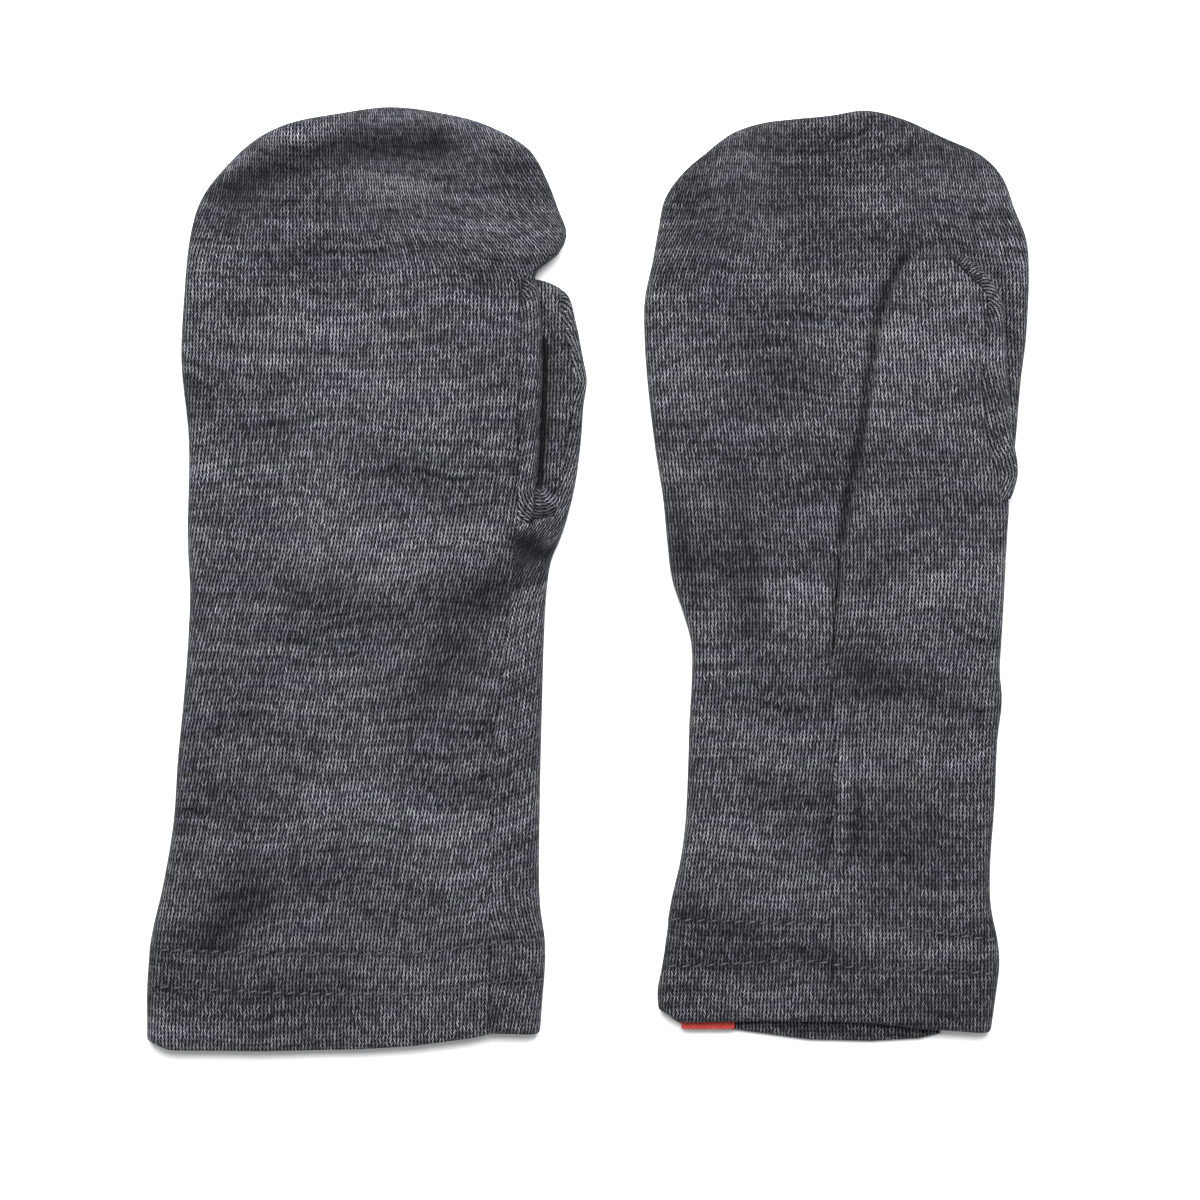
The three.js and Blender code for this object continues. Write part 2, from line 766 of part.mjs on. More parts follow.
// Thumb-side panel: the thumb-side half of the wrist, going on as the outer half of the thumb
function thumbSidePanel(mitten, across) {
  const tube = handTube(mitten);
  const main = mitten.upperIsBack ? -1 : 1;
  const onFloor = mitten.upperIsBack;
  const half = thumbHalfRows(mitten, true, across);
  const sheet = new Sheet();
  sheet.addRows([...half.left, ...half.tip, ...[...half.right].reverse()], half.facesUp);

  // The row at the thumb's root, from the free side to the roll seam, and how far along it each point lies
  const rootRow = [...half.left[0], ...[...half.right[0]].reverse()].filter(
    (point, i, row) => i === 0 || point.distanceTo(row[i - 1]) > WELD,
  );
  const lengths = [0];
  for (let i = 1; i < rootRow.length; i++) lengths.push(lengths[i - 1] + rootRow[i].distanceTo(rootRow[i - 1]));
  const shares = lengths.map((length) => length / lengths[lengths.length - 1]);

  const edgeSeam = smoothLine(mitten.edgeSeam);
  const rollSeam = smoothLine(mitten.thumb.rollSeam);
  const wristRibs = mitten.ribs.rightRibs.filter((ownRib) => ownRib.belowThumb);
  const rootRib = wristRibs[wristRibs.length - 1];
  const roll = seamPath(tube, rootRib, rollSeam, onFloor);
  const pathsOf = (ownRib) => {
    const { spine } = ribPath(tube, ownRib, onFloor);
    const start = main * (spine - SEAM_GAP / 2);
    const end = -main * (seamPath(tube, ownRib, edgeSeam, onFloor) - SEAM_GAP / 2);
    const paths = shares.map((share) => THREE.MathUtils.lerp(start, roll, share));
    for (let i = 1; i <= WRAP_STEPS; i++) paths.push(THREE.MathUtils.lerp(roll, end, i / WRAP_STEPS));
    return paths;
  };
  const rootPoints = pathsOf(rootRib).map((q) => onRib(tube, rootRib, q, onFloor));
  const shifts = rootPoints.map((point, i) => {
    if (i < rootRow.length) return rootRow[i].clone().sub(point);
    const last = rootRow.length - 1;
    const fade = 1 - (i - last) / WRAP_STEPS;
    return rootRow[last].clone().sub(rootPoints[last]).multiplyScalar(fade);
  });
  const rows = wristRibs.map((ownRib) => {
    const rimY = ownRib.origin.y + ownRib.direction.y * ownRib.reach;
    const rootY = rootRib.origin.y + rootRib.direction.y * rootRib.reach;
    const pull = ownRib === rootRib ? 1 : 1 - ease((rootY - rimY) / THUMB_RISE);
    return pathsOf(ownRib).map((q, i) => {
      const point = onRib(tube, ownRib, q, onFloor).addScaledVector(shifts[i], pull);
      return followHem(mitten, ownRib, point, "palm");
    });
  });
  sheet.addRows(rows, !mitten.upperIsBack);
  return sheet.wall(clothThickness(mitten));
}

const pair = new THREE.Group();

function addPiece(name, geometry, colour) {
  const material = new THREE.MeshStandardMaterial({ color: colour, roughness: 0.95, metalness: 0 });
  const mesh = new THREE.Mesh(geometry, material);
  mesh.name = name;
  pair.add(mesh);
  return mesh;
}

// How many steps each panel takes from its edge to the middle: more where it shows its folds
const STEPS_ACROSS = { shown: 7, draped: 6, flat: 3, thumb: 3 };

for (const [name, mitten] of Object.entries({ left: LEFT, right: RIGHT })) {
  const thumbRim = smoothLine(mitten.thumb.rim);
  mitten.thumbOutline = thumbRim.filter((point, i) => i % OUTLINE_SKIP === 0 || i === thumbRim.length - 1);
  mitten.ribs = handRibs(mitten);
  mitten.thumbRibs = thumbRibs(mitten);
  const shown = STEPS_ACROSS.shown;
  addPiece(`${name}_back`, backPanel(mitten, mitten.upperIsBack ? shown : STEPS_ACROSS.flat), COLOURS.jersey);
  addPiece(`${name}_palm`, palmPanel(mitten, mitten.upperIsBack ? STEPS_ACROSS.draped : shown), COLOURS.jersey);
  addPiece(`${name}_thumb_side`, thumbSidePanel(mitten, STEPS_ACROSS.thumb), COLOURS.jersey);
  addPiece(`${name}_thumb_inner`, thumbInner(mitten, STEPS_ACROSS.thumb), COLOURS.jersey);
}

// Woven tab inside the cuff of the right mitten, lying on the hem of the back panel
const tab = addPiece("right_tab", new THREE.BoxGeometry(TAB.width, TAB.length, TAB.thickness), COLOURS.tab);
tab.position.set(TAB.x, TAB.y, TAB.height + TAB.thickness / 2);

// The origin is under the middle of the pair
const bounds = new THREE.Box3().setFromObject(pair);
const middle = bounds.getCenter(new THREE.Vector3());
pair.position.set(-middle.x, -middle.y, -bounds.min.z);

export default pair;
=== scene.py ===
import math

import bmesh
import bpy
import numpy as np
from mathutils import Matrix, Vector
from mathutils.bvhtree import BVHTree
from mathutils.kdtree import KDTree


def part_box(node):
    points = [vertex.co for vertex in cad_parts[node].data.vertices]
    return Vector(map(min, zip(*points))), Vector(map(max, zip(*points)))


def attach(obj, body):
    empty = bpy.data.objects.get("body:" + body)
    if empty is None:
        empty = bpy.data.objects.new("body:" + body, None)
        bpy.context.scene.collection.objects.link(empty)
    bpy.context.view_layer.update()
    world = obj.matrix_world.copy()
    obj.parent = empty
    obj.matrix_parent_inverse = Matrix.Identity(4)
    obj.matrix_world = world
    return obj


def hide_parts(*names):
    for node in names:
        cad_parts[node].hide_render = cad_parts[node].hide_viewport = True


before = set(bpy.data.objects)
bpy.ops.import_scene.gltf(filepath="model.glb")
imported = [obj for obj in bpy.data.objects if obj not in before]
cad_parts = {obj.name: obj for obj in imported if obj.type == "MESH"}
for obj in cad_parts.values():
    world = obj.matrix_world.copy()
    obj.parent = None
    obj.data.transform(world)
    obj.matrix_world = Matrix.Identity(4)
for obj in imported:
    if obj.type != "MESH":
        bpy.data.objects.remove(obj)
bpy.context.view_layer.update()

# Back panels
# Each is one piece of grey melange wool jersey, the whole back of the hand and wrist, sewn to the palm near
# the thumb-side edge and round the fingers, with the cuff end turned up inside as a hem. The left one lies
# over the thumb, and the right one on the floor. Lengths are in millimetres until a mesh is made.
MM = 0.001
CLOTH = 1.1
HEM_CLOTH = 1.9
SEAM_GAP = 0.03
LAYER_GAP = 0.3
HAND_HEIGHT = 3.8
CUFF_HEIGHT = 5.2
WRIST_TOP = 0.0
CUFF_TOP = -60.0
THUMB_HEIGHT = 2.8
THUMB_CROWN = 1.5
CROWN_WIDTH = 6.0
THUMB_RISE = 26.0
DRAPE_HELD = 4.5
PALM_DRAPE = 12.0
BACK_DRAPE = 18.0
ROOT_SLOPE = 9.0
CREASE_FADE = 5.0

# Each mitten as it lies: outline of hand and wrist, edge of the wrist below the thumb, middle line, heights
# of hem, stitches, thumb root and finger pole on those three, how far the hem hangs down along the cuff, the
# seam near the thumb-side edge, the thumb, and how columns of stitches lean. A crease is a line, a width, how
# far it rises, and the painted shade it puts on the knit (a painted highlight where positive) where that
# isn't the usual one for its rise. Creases that rise little or not at all are there for their painted shade
# alone.
LEFT = {
    "back_up": True,
    "rim": [
        (-77, -80.8), (-77, -71), (-76.3, -63.3), (-74, -52.8), (-72.3, -42.3), (-71.6, -31.8),
        (-70.6, -21.3), (-69.8, -10.8), (-69.5, -2), (-69.9, 6.7), (-69.7, 24), (-71, 38),
        (-70.6, 48), (-69.4, 60), (-67.5, 66.2), (-63.3, 71.8), (-57.8, 76.8), (-52.1, 79.5),
        (-43.4, 81.2), (-34.6, 82.3), (-25.9, 81.3), (-17.8, 79.2), (-10.2, 74.8), (-7.2, 69.7),
        (-5.2, 64.5), (-3.7, 60), (-5, 56.6), (-8, 54.4), (-9.2, 52.4), (-8.5, 50),
        (-8, 41), (-8.4, 28), (-9, 18), (-9.3, 10),
    ],
    "wrist_edge": [
        (-3.4, 11.4), (-3.8, 9.9), (-4.9, 6.7), (-6.4, 3.2), (-7.2, -2), (-7.7, -10.8), (-8, -21.3),
        (-8.4, -38.8), (-8.4, -56.3), (-7.5, -63.3), (-7.5, -67.6), (-8, -74), (-8.4, -79.6),
    ],
    "spine": [(-40.5, -82), (-38.8, 3), (-38.5, 40)],
    "levels": [(-80.8, -80.2, -79.6), (-64.8, -64.2, -63.2), (3, 3.2, 11.4), (40, 40, 40)],
    "hem_drop": {
        "x": [-77, -72.8, -59, -41, -30.6, -20.1, -16.8, -8.2],
        "back": [0, -1.5, -1.9, -1.9, -1.5, -0.3, 0.4, 0],
        "palm": [0, -1.5, -1.9, -1.9, -1.5, -0.3, 0.4, 0],
    },
    "edge_seam": [
        (-8.6, 54.6), (-10.4, 53), (-11.4, 51), (-12.1, 31.2), (-12.2, 12.5), (-13.1, -0.3),
        (-14.3, -10.8), (-16.3, -29.5), (-16.9, -52.8), (-17.2, -83),
    ],
    "thumb_rim": [
        (-38.8, 3.2), (-35, 10.2), (-30.3, 22.5), (-28, 31.2), (-26.2, 40), (-23.8, 46.1),
        (-19.8, 50.4), (-13.6, 52.3), (-7.5, 51.9), (-3.6, 49.6), (-2.2, 45.2), (-0.8, 38.2),
        (-0.2, 34.7), (-0.8, 30), (-1.2, 24.2), (-2.1, 17.2), (-2.8, 13.7), (-3.4, 11.4),
    ],
    "thumb_pole": (-14.0, 38.0),
    "roll_seam": [
        (-4, 51.6), (-4.9, 48.7), (-3.5, 42.3), (-2.2, 33), (-3.8, 23.5), (-5.2, 13.7), (-5.9, 9.6),
    ],
    "slot_wall": {
        "y": [13.6, 15, 17.5, 24.4, 36.5, 42, 46, 50],
        "x": [-10.4, -8.8, -7.6, -7.1, -6.4, -6.6, -7.8, -8.8],
    },
    "thumb_creases": [
        ([(-4.9, 48.7), (-3.5, 42.3), (-2.2, 33), (-3.8, 23.5)], 0.8, -0.3),
        # Painted shadow in the slot between the hand and the thumb
        ([(-7.7, 41.5), (-7.4, 36.5), (-7.9, 24.4), (-8.3, 16.5)], 0.5, -0.4, -1.2),
    ],
    "creases": [
        ([(-61.5, 68.2), (-50.4, 73.2), (-39.9, 75), (-26.4, 75.8)], 2.9, -1.3),
        ([(-66.5, 70), (-56, 76.2), (-42, 79.4), (-26, 79.8), (-14, 76)], 2.2, 0.9),
        ([(-26.4, 77.3), (-17, 74), (-11.5, 68)], 3, -0.45),
        ([(-10.5, 5), (-15.4, -1), (-21.9, -10.8), (-28.9, -23.5)], 3.8, -0.9, -0.42),
        ([(-12, 11.3), (-6.4, 11)], 0.6, -0.4),
        ([(-12.2, 9), (-5.5, 8)], 1.2, 0.4),
        ([(-12.4, 6.6), (-8.5, 4.8), (-5, 3.9)], 1.6, -1.1, -0.5),
        ([(-11.5, 50.5), (-12.1, 31.2), (-12.3, 13)], 0.5, -0.4),
        ([(-64.5, -61), (-58.5, -56)], 3.6, -0.4, -0.6),
        ([(-77, -68), (-8, -68)], 11, 0, -0.15),
        ([(-50, 20), (-34, 5)], 5, 0.4),
        ([(-70, 30), (-60, 42)], 3.5, -0.3),
        ([(-72, -44), (-63, -36), (-52, -33)], 3.2, -0.35),
        ([(-30, -40), (-21, -50), (-17.5, -60)], 3.5, 0.4),
    ],
    "under_creases": [
        ([(-60, 30), (-48, 44), (-38, 50)], 3, 0.45),
        ([(-64, -20), (-52, -30), (-45, -46)], 3, 0.4),
        ([(-30, -20), (-20, -34)], 2.6, 0.4),
    ],
    "hem_rows": [
        [(-77, -64.6), (-60, -65.2), (-43, -65.4), (-28, -65), (-17, -63.6), (-7.6, -62.9)],
        [(-77, -71), (-60, -71.9), (-43, -72.4), (-28, -72.2), (-17, -70.4), (-7.8, -69.8)],
    ],
    "wale_turn": (-8.3, 15.6),
    "wale_fans": [(-50, -10, 48, -0.6), (-52, -70, 50, 0.3)],
    "wale_tilt": {
        "back": [
            (-82, 1), (-74, 2), (-60, 8), (-47, 11), (-30, 9), (-4, 14), (15, 9), (31, 4), (60, 0), (84, 0),
        ],
        "palm": [(-82, 1), (-40, 3), (0, 8), (30, 3), (84, 0)],
        "thumb_side": [(-82, 1), (-60, 2), (-30, 5), (-10, 7), (1, 10), (8, 16), (12, 10), (22, 3), (60, 0)],
        "thumb_inner": [(0, 6), (30, 2), (60, 0)],
    },
}

RIGHT = {
    "back_up": False,
    "rim": [
        (12.2, -75.4), (12, -72), (12.9, -66.8), (14.5, -56.3), (16.1, -49.3), (17, -42.3),
        (17.5, -31.8), (17.7, -24.8), (18.1, -17.8), (18, -11.2), (16.6, -6), (14.7, -0.3),
        (13.8, 6.7), (13.1, 14), (11.9, 21.5), (10.7, 31.2), (9.9, 41), (9.9, 48.7),
        (11.2, 55), (12.2, 60.5), (13.4, 66.2), (16.4, 70.6), (20.5, 74.2), (25, 77.6),
        (30, 79.4), (36, 80.2), (42.3, 80.8), (48.5, 81.7), (55, 80.2), (62, 77),
        (68.8, 73.8), (72.4, 70), (74.5, 64.5), (76.6, 59), (77, 53), (76.5, 42),
        (75.6, 34.7), (74.7, 24.2), (73.9, 17.2), (73.4, 13.7),
    ],
    "wrist_edge": [
        (73.4, 13.7), (72.9, 4), (72.6, -3.8), (72.2, -11), (71.9, -16), (72.3, -21.3),
        (71.5, -28.3), (71, -38.8), (70.2, -50), (70.3, -57.1), (71.5, -63.3), (71.8, -67.1),
        (71, -73.8), (70.2, -79.4),
    ],
    "spine": [
        (42.7, -82), (42.6, -56), (42.3, -49), (43.2, -32), (42.3, -21), (43.2, -4),
        (43.8, 3), (43.5, 40),
    ],
    "levels": [(-75.4, -77.4, -79.4), (-59.4, -60.3, -63), (3, 3.2, 13.7), (40, 40, 40)],
    "hem_drop": {
        "x": [12, 16.8, 25.7, 38.8, 49.3, 57.9, 62.1, 70.2],
        "back": [0, -2.5, -2.6, -3.5, -3, -1.9, -0.6, 0],
        "palm": [0, -1.7, -0.9, -0.1, 0.5, 0, 0, 0],
    },
    "edge_seam": [
        (77.4, 55.5), (74.8, 53.5), (73.6, 51), (72, 31.2), (70.2, 12.5), (69, -0.3),
        (67.6, -10.8), (64.2, -29.5), (62, -52.8), (61.6, -83),
    ],
    "thumb_rim": [
        (43.8, 3.2), (45.8, 13.7), (48.3, 26), (49.4, 34.7), (50.9, 43.5), (52.8, 50.5),
        (55.7, 55.2), (60.2, 56.9), (65.4, 55.8), (69.5, 52.6), (72, 48.4), (72.6, 43.7),
        (72.6, 37.5), (73.3, 30.7), (73.9, 25.1), (74.8, 18.3), (73.6, 13.7),
    ],
    "thumb_pole": (61.5, 43),
    "roll_seam": [
        (61.5, 57.2), (65.3, 53.4), (69.4, 48.6), (68.9, 42.4), (68.4, 36.8), (68.6, 30.7),
        (69.8, 23), (71.2, 17.4), (72.3, 12.5),
    ],
    "thumb_creases": [
        ([(62, 55.6), (65.3, 53.2), (69, 48.6), (69.6, 45)], 0.9, -1),
        ([(68.9, 42.4), (68.4, 36.8), (68.6, 30.7), (69.8, 23), (71.2, 17.4)], 0.8, -0.45),
        ([(50, 30), (58, 26)], 3, -0.3),
    ],
    "creases": [
        ([(26.1, 17.2), (28.3, 5.5), (27.8, -9.5)], 2.4, -0.7),
        ([(28.9, -3.8), (33.6, -17.8)], 3, -0.4),
        ([(21.5, 12), (22, 3)], 3.6, -0.1, -0.22),
        ([(47.5, 11), (50, 2)], 3.2, -0.1, -0.2),
        ([(14.6, 15), (16.6, 4), (19.2, -5)], 1.8, -0.5, -0.45),
        ([(43.6, -25), (45, -36), (44.2, -47)], 1.4, 0.9),
        ([(41.6, -21), (43, -28), (42.3, -40.5), (41.2, -50)], 0.9, -0.45, -0.4),
        ([(45.4, -25), (47.3, -38.8), (46.6, -46.5), (44.2, -51.5)], 0.8, -0.45, -0.4),
        ([(35, -5), (42, -7)], 4.6, 0.5, 0.1),
        ([(45.5, -16), (52, -19.5)], 3.6, -0.5, -0.32),
        ([(50, -16), (63, -20)], 4.5, -0.1, -0.28),
        ([(35, 76), (40, 60)], 7, -0.1, -0.3),
        ([(12, -70), (72, -72)], 9, 0, -0.17),
        ([(15, -48), (70, -46)], 13, 0, -0.15),
        ([(38, -65.9), (45.2, -68)], 1, -0.6),
        ([(20, 60), (34, 68), (50, 70)], 4.5, -0.35),
        ([(52, -34), (60, -44)], 3.2, -0.35),
        ([(22, -34), (30, -45)], 3.2, 0.35),
        # Painted shadow along the thumb's free edge and round its tip, where it lies on the palm
        (
            [(55, 55.9), (52.1, 50.7), (50.2, 43.6), (48.7, 34.8), (47.6, 26), (45.1, 13.7), (44.1, 7)],
            0.75, -0.7, -0.75,
        ),
        ([(43.6, 2.5), (43.3, -5), (42.6, -13)], 0.9, -0.4, -0.26),
        (
            [(56, 57.2), (60, 58), (66.5, 56.8), (71, 53), (73.4, 47), (73.8, 38)],
            1.1, -0.6, -0.4,
        ),
    ],
    "under_creases": [
        ([(30, 10), (42, 2), (55, -2)], 3, 0.45),
        ([(26, -28), (36, -40)], 3, 0.4),
        ([(30, 62), (46, 68)], 3, 0.4),
    ],
    "hem_rows": [
        [(12, -59), (16, -59.4), (41, -60.3), (53.7, -60.8), (62, -61.8), (72, -63.2)],
        [
            (11.5, -67.2), (16, -67.5), (36, -66.6), (41, -66.9), (46, -67.8), (62.1, -68.3),
            (72, -69),
        ],
    ],
    "wale_fans": [(38, 10, 46, 0.38), (50, 76, 50, -0.3)],
    "wale_tilt": {
        "back": [(-82, 0), (-40, -4), (0, -6), (30, -2), (84, 0)],
        "palm": [(-82, 2), (-60, 5), (-42, 9), (-20, 4), (0, -3), (22, -7), (49, -1), (84, 0)],
        "thumb_side": [(-82, 0), (-42, 0), (-12, 7), (3, 0), (22, -6), (45, -3), (60, 0)],
        "thumb_inner": [(0, -6), (30, -2), (60, 0)],
    },
}


def ease(t):
    """Smooth step from 0 to 1."""
    s = np.clip(t, 0, 1)
    return s * s * (3 - 2 * s)


def smooth_line(points, steps=12):
    """A smooth line through points, as closely spaced points."""
    p = np.array(points, float)
    p = np.vstack([2 * p[0] - p[1], p, 2 * p[-1] - p[-2]])
    spans = []
    for a, b, c, d in zip(p, p[1:], p[2:], p[3:]):
        tb = np.linalg.norm(b - a) ** 0.5
        tc = tb + np.linalg.norm(c - b) ** 0.5
        td = tc + np.linalg.norm(d - c) ** 0.5
        t = np.linspace(tb, tc, steps, endpoint=False)[:, None]
        ab = ((tb - t) * a + t * b) / tb
        bc = ((tc - t) * b + (t - tb) * c) / (tc - tb)
        cd = ((td - t) * c + (t - tc) * d) / (td - tc)
        abc = ((tc - t) * ab + t * bc) / tc
        bcd = ((td - t) * bc + (t - tb) * cd) / (td - tb)
        spans.append(((tc - t) * abc + (t - tb) * bcd) / (tc - tb))
    return np.vstack([*spans, p[-2:-1]])


def at_height(line, y, from_end=False):
    """First point of a line at height y, from its start or from its end."""
    walk = line[::-1] if from_end else line
    below, above = walk[:-1], walk[1:]
    hits = np.nonzero(((below[:, 1] - y) * (above[:, 1] - y) <= 0) & (below[:, 1] != above[:, 1]))[0]
    if not len(hits):
        return walk[0].copy()
    a, b = below[hits[0]], above[hits[0]]
    return a + (b - a) * (y - a[1]) / (b[1] - a[1])


def ray_meets(line, origin, direction):
    """Distance at which a ray meets a line, or None."""
    a = line[:-1] - origin
    step = line[1:] - line[:-1]
    turn = direction[0] * step[:, 1] - direction[1] * step[:, 0]
    turn[np.abs(turn) < 1e-12] = np.nan
    along = (a[:, 0] * step[:, 1] - a[:, 1] * step[:, 0]) / turn
    part = (a[:, 0] * direction[1] - a[:, 1] * direction[0]) / turn
    hits = along[(part >= 0) & (part <= 1) & (along > 0)]
    return hits.min() if len(hits) else None


def to_line(points, line):
    """Distance from points to a line."""
    line = np.asarray(line, float)
    step = line[1:] - line[:-1]
    out = points[..., None, :] - line[:-1]
    part = np.clip((out * step).sum(-1) / (step**2).sum(-1), 0, 1)
    return np.sqrt(((out - part[..., None] * step) ** 2).sum(-1).min(-1))


def outside(points, outline):
    """Distance from points to a closed outline, negative inside it."""
    closed = np.vstack([outline, outline[:1]])
    a, b = closed[:-1], closed[1:]
    x, y = points[..., None, 0], points[..., None, 1]
    rise = np.where(b[:, 1] == a[:, 1], 1e-12, b[:, 1] - a[:, 1])
    crossed = ((a[:, 1] > y) != (b[:, 1] > y)) & (x < a[:, 0] + (y - a[:, 1]) / rise * (b[:, 0] - a[:, 0]))
    return to_line(points, closed) * np.where(crossed.sum(-1) % 2 == 1, -1, 1)


# Gentle unevenness of cloth that was laid by hand: a few long waves in fixed, seeded directions
LUMP_COUNT = 14
LUMP_HEIGHT = 0.055
LUMP_LENGTHS = (13.0, 34.0)
lump_draw = np.random.default_rng(11)
LUMPS = [
    (lump_draw.uniform(0, math.pi), lump_draw.uniform(*LUMP_LENGTHS), lump_draw.uniform(0, 2 * math.pi))
    for _ in range(LUMP_COUNT)
]


def unevenness(plan):
    rise = np.zeros(plan.shape[:-1])
    for turn, length, start in LUMPS:
        across = plan[..., 0] * math.cos(turn) + plan[..., 1] * math.sin(turn)
        rise += LUMP_HEIGHT * np.sin(2 * math.pi * across / length + start)
    return rise


def crease_rise(creases, plan):
    rise = np.zeros(plan.shape[:-1])
    for line, width, depth, *_ in creases:
        rise += depth * np.exp(-((to_line(plan, line) / width) ** 2))
    return rise


# Painted light and shade on the creases: the knit's colour gets a painted shade in a trough and a painted
# highlight on a ridge, in step with its rise unless the crease gives its own
CREASE_SHADE = 0.55
SHADE_WIDTH = 1.25
SHADE_LIMITS = (-0.93, 0.25)


def crease_shade(creases, plan):
    shades = [
        (line, width * SHADE_WIDTH, own[0] if own else rise * CREASE_SHADE)
        for line, width, rise, *own in creases
    ]
    return np.clip(crease_rise(shades, plan), *SHADE_LIMITS)


# The hem's two rows of stitches draw the cloth in, and it puffs out between them. Along the rows the knit's
# colour also gets a painted shade.
STITCH_DIP = 0.36
STITCH_DIP_WIDTH = 0.8
STITCH_SHADE = 0.35
HEM_PUFF = 0.25
HEM_PUFF_WIDTH = 2.4
BETWEEN_ROWS = 7.4
ROW_STEPS = 3


def row_gaps(mitten, plan):
    """Distance from points to each row of stitches."""
    return [to_line(plan, smooth_line(row, ROW_STEPS)) for row in mitten["hem_rows"]]


def hem_rise(mitten, plan):
    gaps = row_gaps(mitten, plan)
    dips = sum(np.exp(-((gap / STITCH_DIP_WIDTH) ** 2)) for gap in gaps)
    puff = HEM_PUFF * (1 - np.exp(-((np.minimum(*gaps) / HEM_PUFF_WIDTH) ** 2)))
    return np.where(np.maximum(*gaps) < BETWEEN_ROWS, puff, 0) - STITCH_DIP * dips


def drape(mitten, plan, reach):
    """How much the panels over the thumb are lifted."""
    gap = outside(plan, mitten["thumb_outline"])
    return (THUMB_HEIGHT + LAYER_GAP) * (1 - ease((gap - DRAPE_HELD) / (reach - DRAPE_HELD)))


def hand_low(mitten, plan, inward, on_floor):
    low = np.zeros(plan.shape[:-1])
    if mitten["back_up"] and not on_floor:
        low = drape(mitten, plan, PALM_DRAPE)
    return low + crease_rise(mitten["under_creases"], plan) * ease(inward / CREASE_FADE)


def hand_high(mitten, plan, inward, ribs):
    down = ease((WRIST_TOP - plan[..., 1]) / (WRIST_TOP - CUFF_TOP))
    high = HAND_HEIGHT + (CUFF_HEIGHT - HAND_HEIGHT) * down
    rise = crease_rise(mitten["creases"], plan) + unevenness(plan) + hem_rise(mitten, plan)
    high = high + rise * ease(inward / CREASE_FADE)
    if mitten["back_up"]:
        by_thumb = (ribs["thumb_side"] & ribs["below_thumb"])[:, None]
        high = high + drape(mitten, plan, BACK_DRAPE) * np.where(by_thumb, ease(inward / ROOT_SLOPE), 1)
    return high


def hand_tube(mitten, on_floor=False):
    return {
        "low": lambda plan, inward, ribs: hand_low(mitten, plan, inward, on_floor),
        "high": lambda plan, inward, ribs: hand_high(mitten, plan, inward, ribs),
    }


def rib_set(ribs):
    """Ribs of a flattened tube as arrays. Each rib runs in plan from the tube's middle line to its rim."""
    origin, rim, hem, below, thumb_side = (np.array(column) for column in zip(*ribs))
    run = rim - origin
    reach = np.linalg.norm(run, axis=1)
    return {
        "origin": origin, "direction": run / reach[:, None], "reach": reach,
        "hem": hem.astype(float), "below_thumb": below.astype(bool), "thumb_side": thumb_side.astype(bool),
    }


def some_ribs(ribs, pick):
    return {key: value[pick] for key, value in ribs.items()}


def joined_ribs(*sets):
    return {key: np.concatenate([one[key] for one in sets]) for key in sets[0]}


def fan(rim, origin, start, end, count, thumb_side_after):
    """Ribs that turn round the tip, from the direction of start to that of end."""
    start_angle = math.atan2(*(start - origin)[::-1])
    end_angle = math.atan2(*(end - origin)[::-1])
    turn = (start_angle - end_angle) % (2 * math.pi)
    ribs = []
    for i in range(1, count):
        angle = start_angle - turn * i / count
        direction = np.array([math.cos(angle), math.sin(angle)])
        meets = ray_meets(rim, origin, direction)
        ribs.append((origin, origin + direction * meets, 0, False, i > thumb_side_after))
    return ribs


# Rows of the mesh between the hem, its stitches, the thumb's root and the finger pole, and round the tip
HEM_EDGE_ROWS = (0.0, 0.12, 0.4, 0.9)
HEM_ROWS = 17
WRIST_ROWS = 70
HAND_ROWS = 38
TIP_RIBS = 110


def hand_ribs(mitten):
    rim = smooth_line(mitten["rim"])
    wrist_edge = smooth_line(mitten["wrist_edge"])
    spine_x, spine_y = np.array(mitten["spine"]).T
    levels = np.array(mitten["levels"])
    hem_length = levels[1][1] - levels[0][1]
    hem_shares = [row / hem_length for row in HEM_EDGE_ROWS]
    hem_shares += list(np.linspace(2 / HEM_ROWS, 1, HEM_ROWS - 1, endpoint=False))
    rows = [(levels[0] + (levels[1] - levels[0]) * t, 1 - t, True) for t in hem_shares]
    for i in range(WRIST_ROWS):
        rows.append((levels[1] + (levels[2] - levels[1]) * i / WRIST_ROWS, 0, True))
    rows.append((levels[2] - SEAM_GAP / 2, 0, True))
    root = np.array([*levels[2][:2], mitten["rim"][-1][1]])
    rows.append((root + SEAM_GAP / 2, 0, False))
    for i in range(1, HAND_ROWS + 1):
        rows.append((root + (levels[3] - root) * i / HAND_ROWS, 0, False))
    left, right = [], []
    for (left_y, middle_y, right_y), hem, below in rows:
        origin = np.array([np.interp(middle_y, spine_y, spine_x), middle_y])
        left.append((origin, at_height(rim, left_y), hem, below, False))
        right.append((origin, at_height(wrist_edge if below else rim, right_y, True), hem, below, True))
    tip = fan(rim, left[-1][0], left[-1][1], right[-1][1], TIP_RIBS, TIP_RIBS / 2)
    return {"left": rib_set(left), "tip": rib_set(tip), "right": rib_set(right)}


def rim_size(tube, ribs):
    """Half the height of the tube at each rib's rim, and the path length from the rim to the flat."""
    rim = ribs["origin"] + ribs["direction"] * ribs["reach"][:, None]
    none = np.zeros((len(rim), 1))
    radius = (tube["high"](rim[:, None], none, ribs) - tube["low"](rim[:, None], none, ribs)) / 2
    return radius, radius * math.pi / 2


